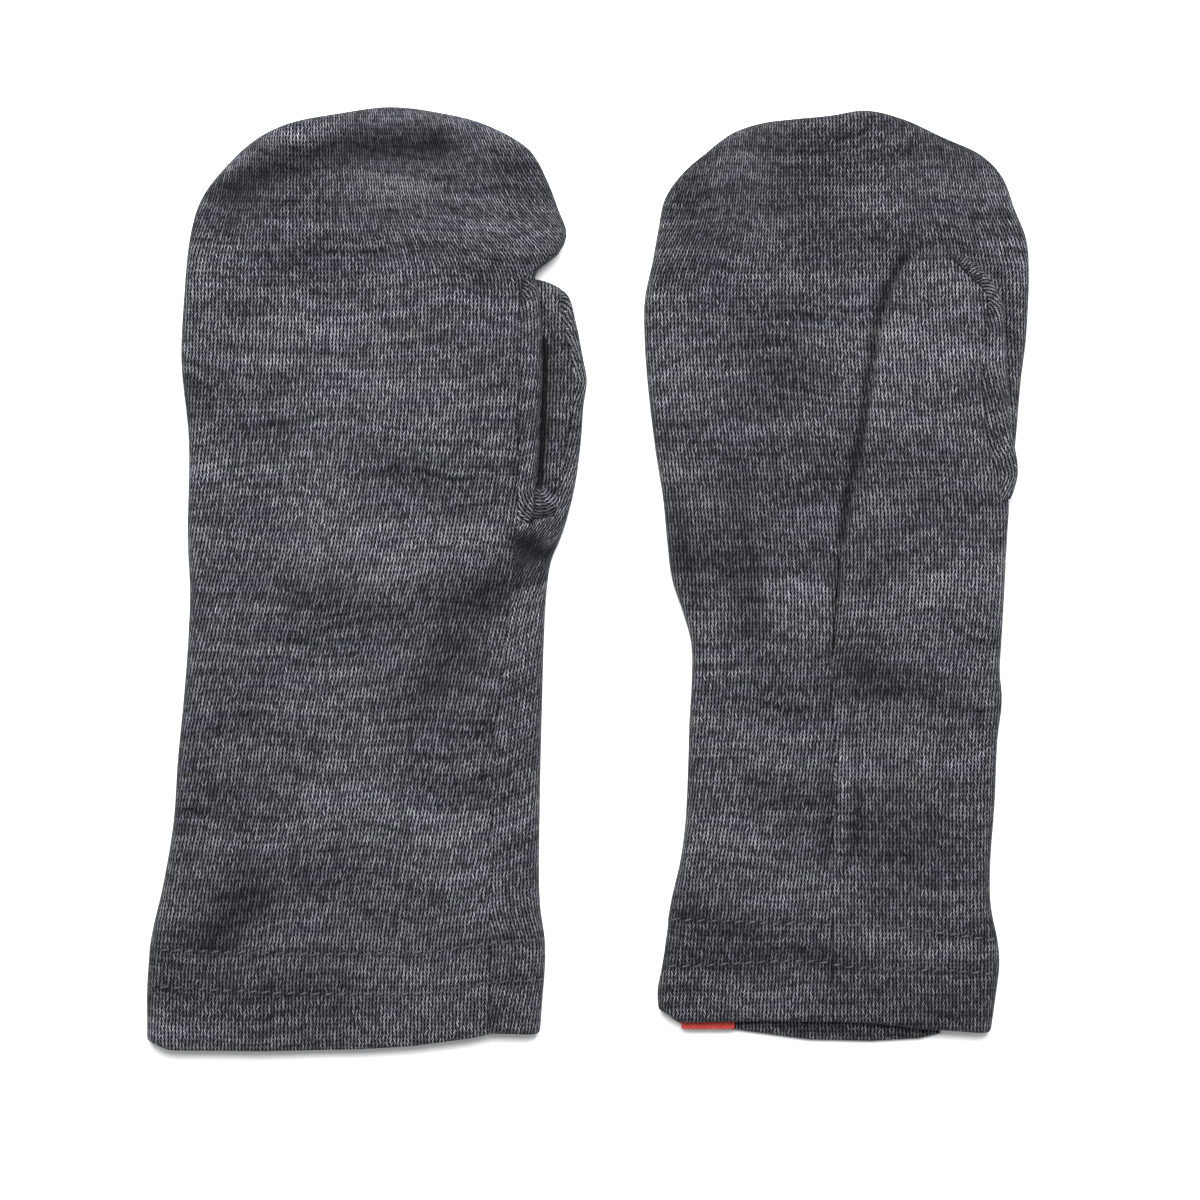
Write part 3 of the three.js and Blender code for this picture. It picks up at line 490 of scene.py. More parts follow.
def on_ribs(tube, ribs, q, side):
    """Points at path lengths q from the rim, above zero on the upper side and below it on the lower side,
    round the folded edge in between, with each point's place on the cloth when side is laid out flat."""
    radius, arc = rim_size(tube, ribs)
    far = np.abs(q)
    angle = np.minimum(far / arc, 1) * math.pi / 2
    inward = radius * (1 - np.cos(angle)) + np.maximum(0, far - arc)
    origin, direction = ribs["origin"][:, None], ribs["direction"][:, None]
    plan = origin + direction * (ribs["reach"][:, None] - inward)[..., None]
    high = tube["high"](plan, inward, ribs)
    low = tube["low"](plan, inward, ribs)
    z = (high + low) / 2 + np.sign(q) * (high - low) / 2 * np.sin(angle)
    spine = arc + ribs["reach"][:, None] - radius
    flat = origin + direction * (spine - side * q)[..., None]
    return np.concatenate([plan, z[..., None], flat], axis=-1)


def seam_paths(tube, ribs, seam):
    """Path length from the rim to a seam that each rib crosses, 0 where it crosses none."""
    radius, arc = rim_size(tube, ribs)
    paths = np.zeros((len(radius), 1))
    for i in np.nonzero(ribs["thumb_side"])[0]:
        meets = ray_meets(seam, ribs["origin"][i], ribs["direction"][i])
        if meets is None or meets >= ribs["reach"][i]:
            continue
        inward = ribs["reach"][i] - meets
        r, a = radius[i, 0], arc[i, 0]
        paths[i, 0] = a + inward - r if inward >= r else a * math.acos(1 - inward / r) / (math.pi / 2)
    return paths


# Columns of the mesh: close together by a cut edge, round the folded edge, and about 1 mm apart on the flat
EDGE_COLUMNS = (0.0, 0.08, 0.25, 0.5)
RIM_COLUMNS = 8
HAND_COLUMNS = 46
THUMB_COLUMNS = 46


def path_steps(tube, ribs, start, side, across, end_gap=0.0):
    """Path lengths along each rib from a seam, which may lie past the rim, to the middle line."""
    radius, arc = rim_size(tube, ribs)
    end = arc + ribs["reach"][:, None] - radius - end_gap
    first = start * side
    steps = [first + edge for edge in EDGE_COLUMNS]
    steps += [np.maximum(steps[-1], arc * i / RIM_COLUMNS) for i in range(-RIM_COLUMNS, RIM_COLUMNS + 1)]
    flat_start = steps[-1]
    flat_end = end - EDGE_COLUMNS[-1]
    steps += [flat_start + (flat_end - flat_start) * i / across for i in range(1, across + 1)]
    steps += [end - edge for edge in EDGE_COLUMNS[-2::-1]]
    return np.hstack(steps) * side


def follow_hem(mitten, ribs, points, panel):
    """The hem dips and rises along the cuff, and the rows of the mesh near it follow."""
    drop = np.interp(points[..., 0], mitten["hem_drop"]["x"], mitten["hem_drop"][panel])
    points[..., 1] += drop * ribs["hem"][:, None]
    points[..., 4] += drop * ribs["hem"][:, None]
    return points


def sheet_of(grids):
    """One welded sheet from grids of points, each given with whether its faces look up."""
    points, quads, count = [], [], 0
    for grid, faces_up in grids:
        ids = np.arange(grid.shape[0] * grid.shape[1]).reshape(grid.shape[:2]) + count
        count += ids.size
        points.append(grid.reshape(-1, grid.shape[-1]))
        corners = [ids[:-1, :-1], ids[:-1, 1:], ids[1:, 1:], ids[1:, :-1]]
        quads.append(np.stack(corners if faces_up else corners[::-1], axis=-1).reshape(-1, 4))
    points, quads = np.vstack(points), np.vstack(quads)
    keys = np.round(points[:, :3] * 1000 + 0.37).astype(np.int64)
    _, first, back = np.unique(keys, axis=0, return_index=True, return_inverse=True)
    faces = []
    for quad in back.reshape(-1)[quads]:
        face = [int(a) for a, b in zip(quad, np.roll(quad, -1)) if a != b]
        if len(set(face)) == len(face) >= 3:
            faces.append(face)
    return points[first, :3], points[first, 3:], faces


def open_edges(faces):
    """Edges that only one face has, in the direction in which it has them."""
    edges = set()
    for face in faces:
        for a, b in zip(face, face[1:] + face[:1]):
            if (b, a) in edges:
                edges.remove((b, a))
            else:
                edges.add((a, b))
    return sorted(edges)


def triangles_of(faces):
    cut = [(face[0], face[i], face[i + 1]) for face in faces for i in range(1, len(face) - 1)]
    return np.array(cut)


def normals_of(points, faces):
    triangles = triangles_of(faces)
    a, b, c = (points[triangles[:, i]] for i in range(3))
    areas = np.cross(b - a, c - a)
    sums = np.zeros_like(points)
    for i in range(3):
        np.add.at(sums, triangles[:, i], areas)
    return sums / np.maximum(np.linalg.norm(sums, axis=1, keepdims=True), 1e-12)


def edge_gaps(points, edges):
    """Distance from each point to the nearest cut edge of its sheet."""
    shares = np.linspace(0, 1, 6, endpoint=False)
    marks = np.array([points[a] + (points[b] - points[a]) * t for a, b in edges for t in shares])
    tree = KDTree(len(marks))
    for i, mark in enumerate(marks):
        tree.insert(mark, i)
    tree.balance()
    return np.array([tree.find(point)[2] for point in points])


SEAM_ROUND = 0.16
HEM_ROUND = HEM_CLOTH / 2 - 0.05
HEM_STEP = 0.6
WALE = 1.22
COURSE = 0.735
TURN_REACH = (7.5, 10.0)
TURN_RADIUS = 2.0


def turned_wales(knit, points, wrapped, middle):
    """Columns of stitches run down one side of the slot, round its end and up the other side."""
    dx, dy = points[:, 0] - middle[0], points[:, 1] - middle[1]
    far = np.hypot(dx, dy)
    side = np.where(wrapped, -1, 1)
    turn = np.abs(np.arctan2(-dy, dx * side))
    share = 1 - ease((far - TURN_REACH[0]) / (TURN_REACH[1] - TURN_REACH[0]))
    share = share * (dy < 0) * (points[:, 2] > CLOTH * 1.5)
    knit[:, 0] += share * (far - dx * side) / WALE
    knit[:, 1] -= share * (dy + turn * TURN_RADIUS) / COURSE
    return knit


FAN_LENGTH = 18.0
FANNED_PARTS = ("back", "palm")
TURNED_PARTS = ("palm", "thumb_inner")
TILT_HEIGHTS = np.linspace(-90, 90, 361)


def fanned(fans, flat):
    """Columns of stitches lean with the outline round the fingertips. A fan is given by the x where it
    starts, the x where it is full, the y where it starts, and its slope."""
    lean = np.zeros(len(flat))
    for start, full, low, slope in fans:
        above = np.clip(flat[:, 1] - low, 0, None)
        lean += slope * ease((flat[:, 0] - start) / (full - start)) * above * ease(above / FAN_LENGTH)
    return lean


def knit_place(mitten, part, points, flat, normals):
    """Where each point lies on the knit, counted in stitches: across the columns, along them, and the cloth's
    face. Columns lean as the photograph shows, the other way where the cloth wraps an edge."""
    heights, tilts = np.array(mitten["wale_tilt"][part]).T
    tilts = np.radians(np.interp(TILT_HEIGHTS, heights, tilts))
    steps = np.tan((tilts[1:] + tilts[:-1]) / 2) * np.diff(TILT_HEIGHTS)
    shift = np.concatenate([[0], np.cumsum(steps)])
    lean = np.interp(flat[:, 1], TILT_HEIGHTS, shift)
    if part in FANNED_PARTS:
        lean += fanned(mitten["wale_fans"], flat)
    wrapped = normals[:, 2] * np.median(normals[:, 2]) < 0
    across = (flat[:, 0] - lean * np.where(wrapped, -1, 1)) / WALE
    knit = np.column_stack([across, flat[:, 1] / COURSE, np.zeros(len(points))])
    if "wale_turn" in mitten and part in TURNED_PARTS:
        knit = turned_wales(knit, points, wrapped, mitten["wale_turn"])
    return knit


def new_object(name, data):
    thing = bpy.data.objects.new(name, data)
    bpy.context.collection.objects.link(thing)
    return thing


def new_piece(name, mesh):
    mesh.shade_smooth()
    return new_object(name, mesh)


def wall_mesh(name, grids, mitten, part):
    """A closed wall of cloth with rounded edges. The sheet is its outer face. Each point carries its place on
    the knit as the attribute knit, and as a second attribute the painted shade and painted highlight that its
    creases and hem rows put on the knit's colour."""
    points, flat, faces = sheet_of(grids)
    normals = normals_of(points, faces)
    edges = open_edges(faces)
    gaps = edge_gaps(points, edges)
    upper_row = np.interp(flat[:, 0], *np.array(mitten["hem_rows"][0]).T)
    hem = np.clip((upper_row - HEM_STEP - points[:, 1]) / HEM_STEP, 0, 1)
    thickness = CLOTH + (HEM_CLOTH - CLOTH) * hem
    radius = SEAM_ROUND + (HEM_ROUND - SEAM_ROUND) * hem
    inside = np.clip(radius - gaps, 0, None)
    round_off = radius - np.sqrt(np.maximum(radius**2 - inside**2, 0))
    outer = points - normals * round_off[:, None]
    inner = points - normals * (thickness - round_off)[:, None]
    count = len(points)
    all_faces = list(faces)
    all_faces += [[index + count for index in face[::-1]] for face in faces]
    all_faces += [[a, a + count, b + count, b] for a, b in edges]
    mesh = bpy.data.meshes.new(name)
    mesh.from_pydata((np.vstack([outer, inner]) * MM).tolist(), [], all_faces)
    knit = knit_place(mitten, part, points, flat, normals)
    knit = np.vstack([knit, knit + [0.0, 0.0, 1.0]])
    mesh.attributes.new("knit", "FLOAT_VECTOR", "POINT").data.foreach_set("vector", knit.ravel())
    creases = mitten["thumb_creases" if part == "thumb_inner" else "creases"]
    # Painted shade in the creases' troughs and painted highlight on their ridges, on upward faces only, and
    # painted shade along the hem's rows of stitches
    shade = crease_shade(creases, points[:, :2]) * np.clip(normals[:, 2] * 2, 0, 1)
    by_row = np.minimum(*row_gaps(mitten, points[:, :2]))
    shade -= STITCH_SHADE * np.exp(-((by_row / STITCH_DIP_WIDTH) ** 2))
    shade = np.concatenate([shade, np.zeros(count)])
    mesh.attributes.new("painted_light_and_shade", "FLOAT", "POINT").data.foreach_set("value", shade)
    mesh.validate()
    triangles = triangles_of(faces)
    a, b, c = (flat[triangles[:, i]] for i in range(3))
    area = np.abs(np.cross(b - a, c - a)).sum() / 2
    size = np.ptp(flat, axis=0)
    cut = {"flat": (float(size[0] * MM), float(size[1] * MM)), "area": float(area * MM * MM)}
    return new_piece(name, mesh), cut


def back_panel(mitten, name):
    tube = hand_tube(mitten)
    side = 1 if mitten["back_up"] else -1
    ribs = mitten["ribs"]
    walk = joined_ribs(ribs["left"], ribs["tip"], some_ribs(ribs["right"], slice(None, None, -1)))
    start = side * (seam_paths(tube, walk, mitten["edge_line"]) + SEAM_GAP / 2)
    points = on_ribs(tube, walk, path_steps(tube, walk, start, side, HAND_COLUMNS), side)
    grid = follow_hem(mitten, walk, points, "back")
    return wall_mesh(name, [(grid, mitten["back_up"])], mitten, "back")


def linear(colour):
    """sRGB hex to linear colour."""
    parts = [int(colour[i : i + 2], 16) / 255 for i in (1, 3, 5)]
    return [p / 12.92 if p <= 0.04045 else ((p + 0.055) / 1.055) ** 2.4 for p in parts] + [1.0]


def new_material(name, values):
    """A material with these values on its shader."""
    material = bpy.data.materials.new(name)
    material.use_nodes = True
    shader = material.node_tree.nodes["Principled BSDF"]
    for key, value in values.items():
        shader.inputs[key].default_value = value
    return material, material.node_tree, shader


def add(tree, kind, inputs=(), operation=None, stops=(), **settings):
    """Adds a node with its settings, its links and the stops of its colour ramp, and gives its first output.
    Inputs are in order or by name."""
    node = tree.nodes.new("ShaderNode" + kind)
    if operation:
        node.operation = operation
    for i, (position, colour) in enumerate(stops):
        elements = node.color_ramp.elements
        element = elements[i] if i < len(elements) else elements.new(position)
        element.position = position
        element.color = linear(colour)
    for key, value in settings.items():
        setattr(node, key, value)
    for key, value in (inputs if isinstance(inputs, dict) else dict(enumerate(inputs))).items():
        if isinstance(value, bpy.types.NodeSocket):
            tree.links.new(value, node.inputs[key])
        else:
            node.inputs[key].default_value = value
    return node.outputs[0]


def dress(piece, material, node=None):
    """Gives a piece its material and ties it to the part."""
    piece.data.materials.append(material)
    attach(piece, "root")
    if node:
        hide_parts(node)


# Wool jersey: fine grey melange yarn in plain knit. Each stitch is a V of two steep strands in the yarn's
# grey on their backs, with a painted shade down their sides that is nearly black in the small holes where
# strands part. Fibres of several greys run along the courses as short streaks. The patterns are scaled to
# stitches of
# WALE by COURSE millimetres.
YARN_DARK = "#1b1c20"
YARN_MID = "#65676d"
YARN_LIGHT = "#b3b5ba"
GAP_SHADE = "#020203"
COOL_TINT = "#e9ebf5"
WARM_TINT = "#f0efea"
STRAND_RISE = 1.8
DITCH = 1.3
CUT = 1.2
COURSE_BEND = 14.0
KNIT_RELIEF = 0.30
SLACK_SCALE = (0.6, 0.4, 1.0)
SLACK = (0.45, 0.95, 0.0)
SWAY_SCALE = (0.05, 0.03, 1.0)
FIBRE_SCALE = (5.0, 9.0, 1.0)
STREAK_SCALE = (1 / 16, 0.8, 1.0)
PATCH_SCALE = (0.03, 0.06, 1.0)
BAND_SCALE = (0.06, 0.33, 1.0)
TINT_SCALE = (0.09, 0.22, 1.0)
TONE_SHARES = (0.4, 0.65, 0.85, 0.75, 0.45)


def wool_jersey():
    values = {
        "Specular IOR Level": 0.1, "Sheen Weight": 0.06, "Sheen Roughness": 0.45,
        "Sheen Tint": linear("#aeb1bd"),
    }
    material, tree, shader = new_material("wool jersey", values)

    # The stitches are a little uneven, so the place on the knit is moved by a soft noise
    knit = add(tree, "Attribute", attribute_name="knit").node.outputs["Vector"]
    slack = add(tree, "VectorMath", (knit, SLACK_SCALE), "MULTIPLY")
    slack = add(tree, "TexNoise", {"Vector": slack, "Scale": 1.0, "Detail": 2.0}).node.outputs["Color"]
    slack = add(tree, "VectorMath", (slack, (0.5, 0.5, 0.5)), "SUBTRACT")
    moved = add(tree, "VectorMath", (slack, SLACK, knit), "MULTIPLY_ADD")
    u = add(tree, "SeparateXYZ", (moved,))
    v = u.node.outputs[1]

    # From 0 in the middle of a wale to 1 at its border, and where a point lies across its slanting strand
    aside = add(tree, "Math", (u,), "FRACT")
    aside = add(tree, "Math", (aside, 2.0, -1.0), "MULTIPLY_ADD")
    aside = add(tree, "Math", (aside,), "ABSOLUTE")
    slant = add(tree, "Math", (aside, STRAND_RISE), "MULTIPLY")
    lifted = add(tree, "Math", (v, slant), "SUBTRACT")
    course = add(tree, "Math", (lifted,), "FLOOR")
    across = add(tree, "Math", (lifted,), "FRACT")
    across = add(tree, "Math", (across, 2.0, -1.0), "MULTIPLY_ADD")
    across = add(tree, "Math", (across, across), "MULTIPLY")
    end = add(tree, "Math", (aside, 2.0, -1.0), "MULTIPLY_ADD")
    end = add(tree, "Math", (end, end), "MULTIPLY")
    sunk = add(tree, "Math", (end, DITCH), "MULTIPLY")
    sunk = add(tree, "Math", (across, CUT, sunk), "MULTIPLY_ADD")
    height = add(tree, "Math", (1.0, sunk), "SUBTRACT", use_clamp=True)
    height = add(tree, "Math", (height,), "SQRT")

    # Yarn colour: it changes from stitch to stitch, along each course, and over wider patches
    half_wale = add(tree, "Math", (u, 2.0), "MULTIPLY")
    half_wale = add(tree, "Math", (half_wale,), "FLOOR")
    cell = add(tree, "CombineXYZ", (half_wale, course))
    single = add(tree, "TexWhiteNoise", {"Vector": cell})
    sway = add(tree, "VectorMath", (knit, SWAY_SCALE), "MULTIPLY")
    sway = add(tree, "TexNoise", {"Vector": sway, "Scale": 1.0, "Detail": 1.0})
    sway = add(tree, "Math", (sway, COURSE_BEND, -COURSE_BEND / 2), "MULTIPLY_ADD")
    bend = add(tree, "CombineXYZ", {1: sway})
    bent = add(tree, "VectorMath", (knit, bend), "ADD")
    noises = []
    for place, scale, detail in (
        (knit, FIBRE_SCALE, 2.0), (bent, STREAK_SCALE, 3.0), (bent, PATCH_SCALE, 3.0),
        (bent, BAND_SCALE, 3.0), (bent, TINT_SCALE, 3.0),
    ):
        place = add(tree, "VectorMath", (place, scale), "MULTIPLY")
        noises.append(add(tree, "TexNoise", {"Vector": place, "Scale": 1.0, "Detail": detail}))
    fibre, streak, patch, band, tint = noises
    tone = 0.5
    for part, share in zip((single, streak, fibre, patch, band), TONE_SHARES):
        part = add(tree, "Math", (part, 0.5), "SUBTRACT")
        tone = add(tree, "Math", (part, share, tone), "MULTIPLY_ADD")
    greys = ((0.12, YARN_DARK), (0.95, YARN_LIGHT), (0.5, YARN_MID))
    yarn = add(tree, "ValToRGB", (tone,), stops=greys)

    # Holes between the strands get a nearly black painted shade, creases and hem rows a painted shade and
    # ridges a painted highlight, and some fibres are cooler than others
    seen = {"Value": height, "From Min": 0.3, "From Max": 1.0}
    seen = add(tree, "MapRange", seen, interpolation_type="SMOOTHSTEP")
    colour = add(tree, "Mix", {0: seen, 6: linear(GAP_SHADE), 7: yarn}, data_type="RGBA").node.outputs[2]
    painted_light_and_shade = add(tree, "Attribute", attribute_name="painted_light_and_shade").node.outputs["Fac"]
    folded = add(tree, "Math", (painted_light_and_shade, 1.0), "ADD")
    colour = add(tree, "VectorMath", {0: colour, "Scale": folded}, "SCALE")
    tint = add(tree, "Math", (tint, 3.0, -1.05), "MULTIPLY_ADD", use_clamp=True)
    hue = {0: tint, 6: linear(COOL_TINT), 7: linear(WARM_TINT)}
    hue = add(tree, "Mix", hue, data_type="RGBA").node.outputs[2]
    colour = add(tree, "VectorMath", (colour, hue), "MULTIPLY")
    tree.links.new(colour, shader.inputs["Base Color"])

    rough = add(tree, "Math", (fibre, 0.2, 0.78), "MULTIPLY_ADD")
    tree.links.new(rough, shader.inputs["Roughness"])
    lift = add(tree, "Math", (fibre, 0.25, height), "MULTIPLY_ADD")
    bump = add(tree, "Bump", {"Height": lift, "Strength": 0.9, "Distance": KNIT_RELIEF * MM})
    tree.links.new(bump, shader.inputs["Normal"])
    return material


jersey = wool_jersey()
OUTLINE_SKIP = 6
PAIR = {"left": LEFT, "right": RIGHT}
for side, mitten in PAIR.items():
    mitten["thumb_outline"] = smooth_line(mitten["thumb_rim"])[::OUTLINE_SKIP]
    mitten["edge_line"] = smooth_line(mitten["edge_seam"])
    mitten["roll_line"] = smooth_line(mitten["roll_seam"])
    mitten["ribs"] = hand_ribs(mitten)
    mitten["back"], mitten["back_cut"] = back_panel(mitten, f"{side}_back_panel")
    dress(mitten["back"], jersey, f"{side}_back")


# Palm panels
# Each is one piece of the same jersey: the palm above the thumb's root and the little-finger half of the
# wrist. It wraps the hand's thumb-side edge and is sewn to the back panel a few millimetres in from there.
# The cuff end is turned up as a hem.
def palm_panel(mitten, name):
    tube = hand_tube(mitten)
    side = -1 if mitten["back_up"] else 1
    ribs = mitten["ribs"]
    above = some_ribs(ribs["right"], ~ribs["right"]["below_thumb"])
    walk = joined_ribs(ribs["left"], ribs["tip"], some_ribs(above, slice(None, None, -1)))
    start = -side * (seam_paths(tube, walk, mitten["edge_line"]) - SEAM_GAP / 2)
    end_gap = np.where(walk["below_thumb"], SEAM_GAP / 2, 0.0)[:, None]
    steps = path_steps(tube, walk, start, side, HAND_COLUMNS, end_gap)
    grid = follow_hem(mitten, walk, on_ribs(tube, walk, steps, side), "palm")
    return wall_mesh(name, [(grid, not mitten["back_up"])], mitten, "palm")


for side, mitten in PAIR.items():
    mitten["palm"], mitten["palm_cut"] = palm_panel(mitten, f"{side}_palm_panel")
    dress(mitten["palm"], jersey, f"{side}_palm")


# Inner halves of the thumbs
# Each is one piece of the same jersey, on the side of the thumb that faces the palm, sewn to the outer half
# along the thumb's two seams.
THUMB_ROWS = 36
THUMB_TIP_RIBS = 60


def thumb_ribs(mitten):
    rim = smooth_line(mitten["thumb_rim"])
    first, last = rim[0], rim[-1]
    root = (first + last) / 2
    pole = np.array(mitten["thumb_pole"])
    shares = [0, SEAM_GAP / np.linalg.norm(pole - root)]
    shares += [i / THUMB_ROWS for i in range(1, THUMB_ROWS + 1)]
    left, right = [], []
    for share in shares:
        origin = root + (pole - root) * share
        left_rim = at_height(rim, first[1] + (pole[1] - first[1]) * share)
        right_rim = at_height(rim, last[1] + (pole[1] - last[1]) * share, True)
        left.append((origin, left_rim, 0, False, False))
        right.append((origin, right_rim, 0, False, True))
    tip = fan(rim, pole, left[-1][1], right[-1][1], THUMB_TIP_RIBS, THUMB_TIP_RIBS / 3)
    return {"left": rib_set(left), "tip": rib_set(tip), "right": rib_set(right)}


# The left thumb shows beside the hand: it stands up from the slot between them, and joins the wrist at its
# root. Left of the places below it is hidden under the hand and stays flat.
SLOT_RISE = 1.7
SLOT_SLOPE = 1.5
SLOT_START = 0.2
ROOT_FADE = 5.0
THUMB_ROUND = 3.5
SEAM_SIDE = 1.2
RISE_FROM = -10.0
ROOT_FROM = -10.4
FOLDS_FROM = -9.5
SHOWN_FADE = 1.5


def thumb_rise(mitten, plan, inward, crown):
    folds = unevenness(plan) + crease_rise(mitten["thumb_creases"], plan)
    rise = (crown + folds) * ease(inward / CROWN_WIDTH)
    if not mitten["back_up"]:
        beside = ease(inward / SEAM_SIDE) - ease(inward / CROWN_WIDTH)
        return rise + crease_rise(mitten["thumb_creases"], plan) * beside
    x, y = plan[..., 0], plan[..., 1]
    wall = np.interp(y, mitten["slot_wall"]["y"], mitten["slot_wall"]["x"])
    shown = SLOT_RISE * ease((x - wall) / SLOT_SLOPE + SLOT_START)
    shown = shown * ease((x - RISE_FROM) / SHOWN_FADE) * ease(inward / THUMB_ROUND)
    first, last = np.array(mitten["thumb_rim"])[[0, -1]]
    root_y = first[1] + (x - first[0]) * (last[1] - first[1]) / (last[0] - first[0])
    wrist = HAND_HEIGHT - THUMB_HEIGHT + (THUMB_HEIGHT + LAYER_GAP) * ease((last[0] - x) / ROOT_SLOPE)
    share = (1 - ease((y - root_y) / ROOT_FADE)) * ease((x - ROOT_FROM) / SHOWN_FADE)
    folds = folds * ease(inward / THUMB_ROUND) * ease((x - FOLDS_FROM) / SHOWN_FADE)
    return shown + (wrist - shown) * share + folds


def thumb_tube(mitten):
    low = 0.0 if mitten["back_up"] else HAND_HEIGHT + LAYER_GAP
    crown = 0.0 if mitten["back_up"] else THUMB_CROWN
    return {
        "low": lambda plan, inward, ribs: np.full(plan.shape[:-1], low),
        "high": lambda plan, inward, ribs: low + THUMB_HEIGHT + thumb_rise(mitten, plan, inward, crown),
    }


def thumb_half(mitten, outer):
    """Grids of one half of the thumb: the outer half, or the inner half that faces the palm."""
    tube = thumb_tube(mitten)
    side = -1 if outer == mitten["back_up"] else 1
    skip = slice(None) if outer else slice(1, None)
    grids = {}
    for part in ("left", "tip", "right"):
        ribs = mitten["thumb_ribs"][part]
        if part != "tip":
            ribs = some_ribs(ribs, skip)
        roll = seam_paths(tube, ribs, mitten["roll_line"])
        start = roll + SEAM_GAP / 2 * side
        grids[part] = on_ribs(tube, ribs, path_steps(tube, ribs, start, side, THUMB_COLUMNS), side)
    whole = np.concatenate([grids["left"], grids["tip"], grids["right"][::-1]])
    return grids, whole, side == 1


for side, mitten in PAIR.items():
    mitten["thumb_ribs"] = thumb_ribs(mitten)
    _, whole, faces_up = thumb_half(mitten, False)
    name = f"{side}_thumb_inner_half"
    mitten["inner"], mitten["inner_cut"] = wall_mesh(name, [(whole, faces_up)], mitten, "thumb_inner")
    dress(mitten["inner"], jersey, f"{side}_thumb_inner")


# Thumb-side panels
# Each is one piece of the same jersey: the thumb-side half of the wrist, from the centre palm seam round its
# edge to the back panel, going on above the root as the outer half of the thumb. The cuff end is turned up
# as a hem.
WRAP_COLUMNS = 12
WRAP_LENGTH = 8
NEAR_FADE = 1.0


def thumb_side_panel(mitten, name):
    main = -1 if mitten["back_up"] else 1
    tube = hand_tube(mitten, on_floor=mitten["back_up"])
    grids, whole, faces_up = thumb_half(mitten, True)

    # The row at the thumb's root, from the free side to the roll seam, and how far along it each point lies
    root_row = np.concatenate([grids["left"][0], grids["right"][0][::-1]])
    steps = np.linalg.norm(np.diff(root_row[:, :3], axis=0), axis=1)
    root_row = root_row[np.concatenate([[True], steps > 1e-4])]
    steps = np.linalg.norm(np.diff(root_row[:, :3], axis=0), axis=1)
    shares = np.concatenate([[0], np.cumsum(steps)]) / steps.sum()

    ribs = mitten["ribs"]["right"]
    wrist = some_ribs(ribs, ribs["below_thumb"])
    radius, arc = rim_size(tube, wrist)
    spine = arc + wrist["reach"][:, None] - radius
    roll = seam_paths(tube, some_ribs(wrist, slice(-1, None)), mitten["roll_line"])[0, 0]
    start = main * (spine - SEAM_GAP / 2)
    end = -main * (seam_paths(tube, wrist, mitten["edge_line"]) - SEAM_GAP / 2)
    wrap = np.linspace(0, 1, WRAP_COLUMNS + 1)[1:]
    edge = [e / WRAP_LENGTH for e in EDGE_COLUMNS[:0:-1]]
    wrap = np.concatenate([wrap[:-1], [1 - e for e in edge], wrap[-1:]])
    paths = np.hstack([start + (roll - start) * shares, roll + (end - roll) * wrap])
    points = on_ribs(tube, wrist, paths, main)
    last = len(root_row) - 1
    shifts = np.zeros((paths.shape[1], points.shape[-1]))
    shifts[: last + 1] = root_row - points[-1, : last + 1]
    shifts[last + 1 :] = shifts[last] * (1 - wrap)[:, None]
    if mitten["back_up"]:
        # Where it shows, the wrapped part ends at the inner half of the thumb
        inner_row = thumb_half(mitten, False)[1][-1]
        wrap_row = points[-1, last + 1 :]
        near = ease((wrap_row[:, 0] - ROOT_FROM) / NEAR_FADE)
        for i in (1, 2):
            beside = np.interp(-wrap_row[:, 0], -inner_row[:, 0], inner_row[:, i])
            shifts[last + 1 :, i] += near * (beside - wrap_row[:, i] - shifts[last + 1 :, i])
    rim_y = wrist["origin"][:, 1] + wrist["direction"][:, 1] * wrist["reach"]
    pull = 1 - ease((rim_y[-1] - rim_y) / THUMB_RISE)
    points = follow_hem(mitten, wrist, points + shifts * pull[:, None, None], "palm")
    both = [(whole, faces_up), (points, not mitten["back_up"])]
    return wall_mesh(name, both, mitten, "thumb_side")


for side, mitten in PAIR.items():
    mitten["side"], mitten["side_cut"] = thumb_side_panel(mitten, f"{side}_thumb_side_panel")
    dress(mitten["side"], jersey, f"{side}_thumb_side")


# Woven tab
# A small folded tape of plain red cotton, sewn inside the cuff of the right mitten to the back panel's hem.
# It carries no words or marks.
tab_low, tab_high = (Vector(corner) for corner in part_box("right_tab"))
TAB_ROUND = 0.3 * MM
TAB_RED = "#8e2b26"
TAB_RED_LIGHT = "#c0504a"
TAPE_THREAD = 0.35
TAPE_FLECK = 0.5
TAPE_RELIEF = 0.1


def woven_tape():
    """Woven cotton tape: fine red threads across it, with lighter ones between, and a dry, dull face."""
    values = {"Roughness": 0.85, "Specular IOR Level": 0.25}
    material, tree, shader = new_material("woven cotton tape", values)
    place = add(tree, "TexCoord").node.outputs["Object"]
    wave = {"Vector": place, "Scale": math.pi / (10 * TAPE_THREAD * MM), "Distortion": 1.2, "Detail": 2.0}
    threads = add(tree, "TexWave", wave, bands_direction="DIAGONAL")
    flecks = add(tree, "TexNoise", {"Vector": place, "Scale": 1 / (TAPE_FLECK * MM), "Detail": 2.0})
    mixed = add(tree, "Math", (threads, flecks), "MULTIPLY")
    colour = add(tree, "ValToRGB", (mixed,), stops=((0.0, TAB_RED), (0.7, TAB_RED_LIGHT)))
    tree.links.new(colour, shader.inputs["Base Color"])
    bump = add(tree, "Bump", {"Height": threads, "Strength": 0.6, "Distance": TAPE_RELIEF * MM})
    tree.links.new(bump, shader.inputs["Normal"])
    return material


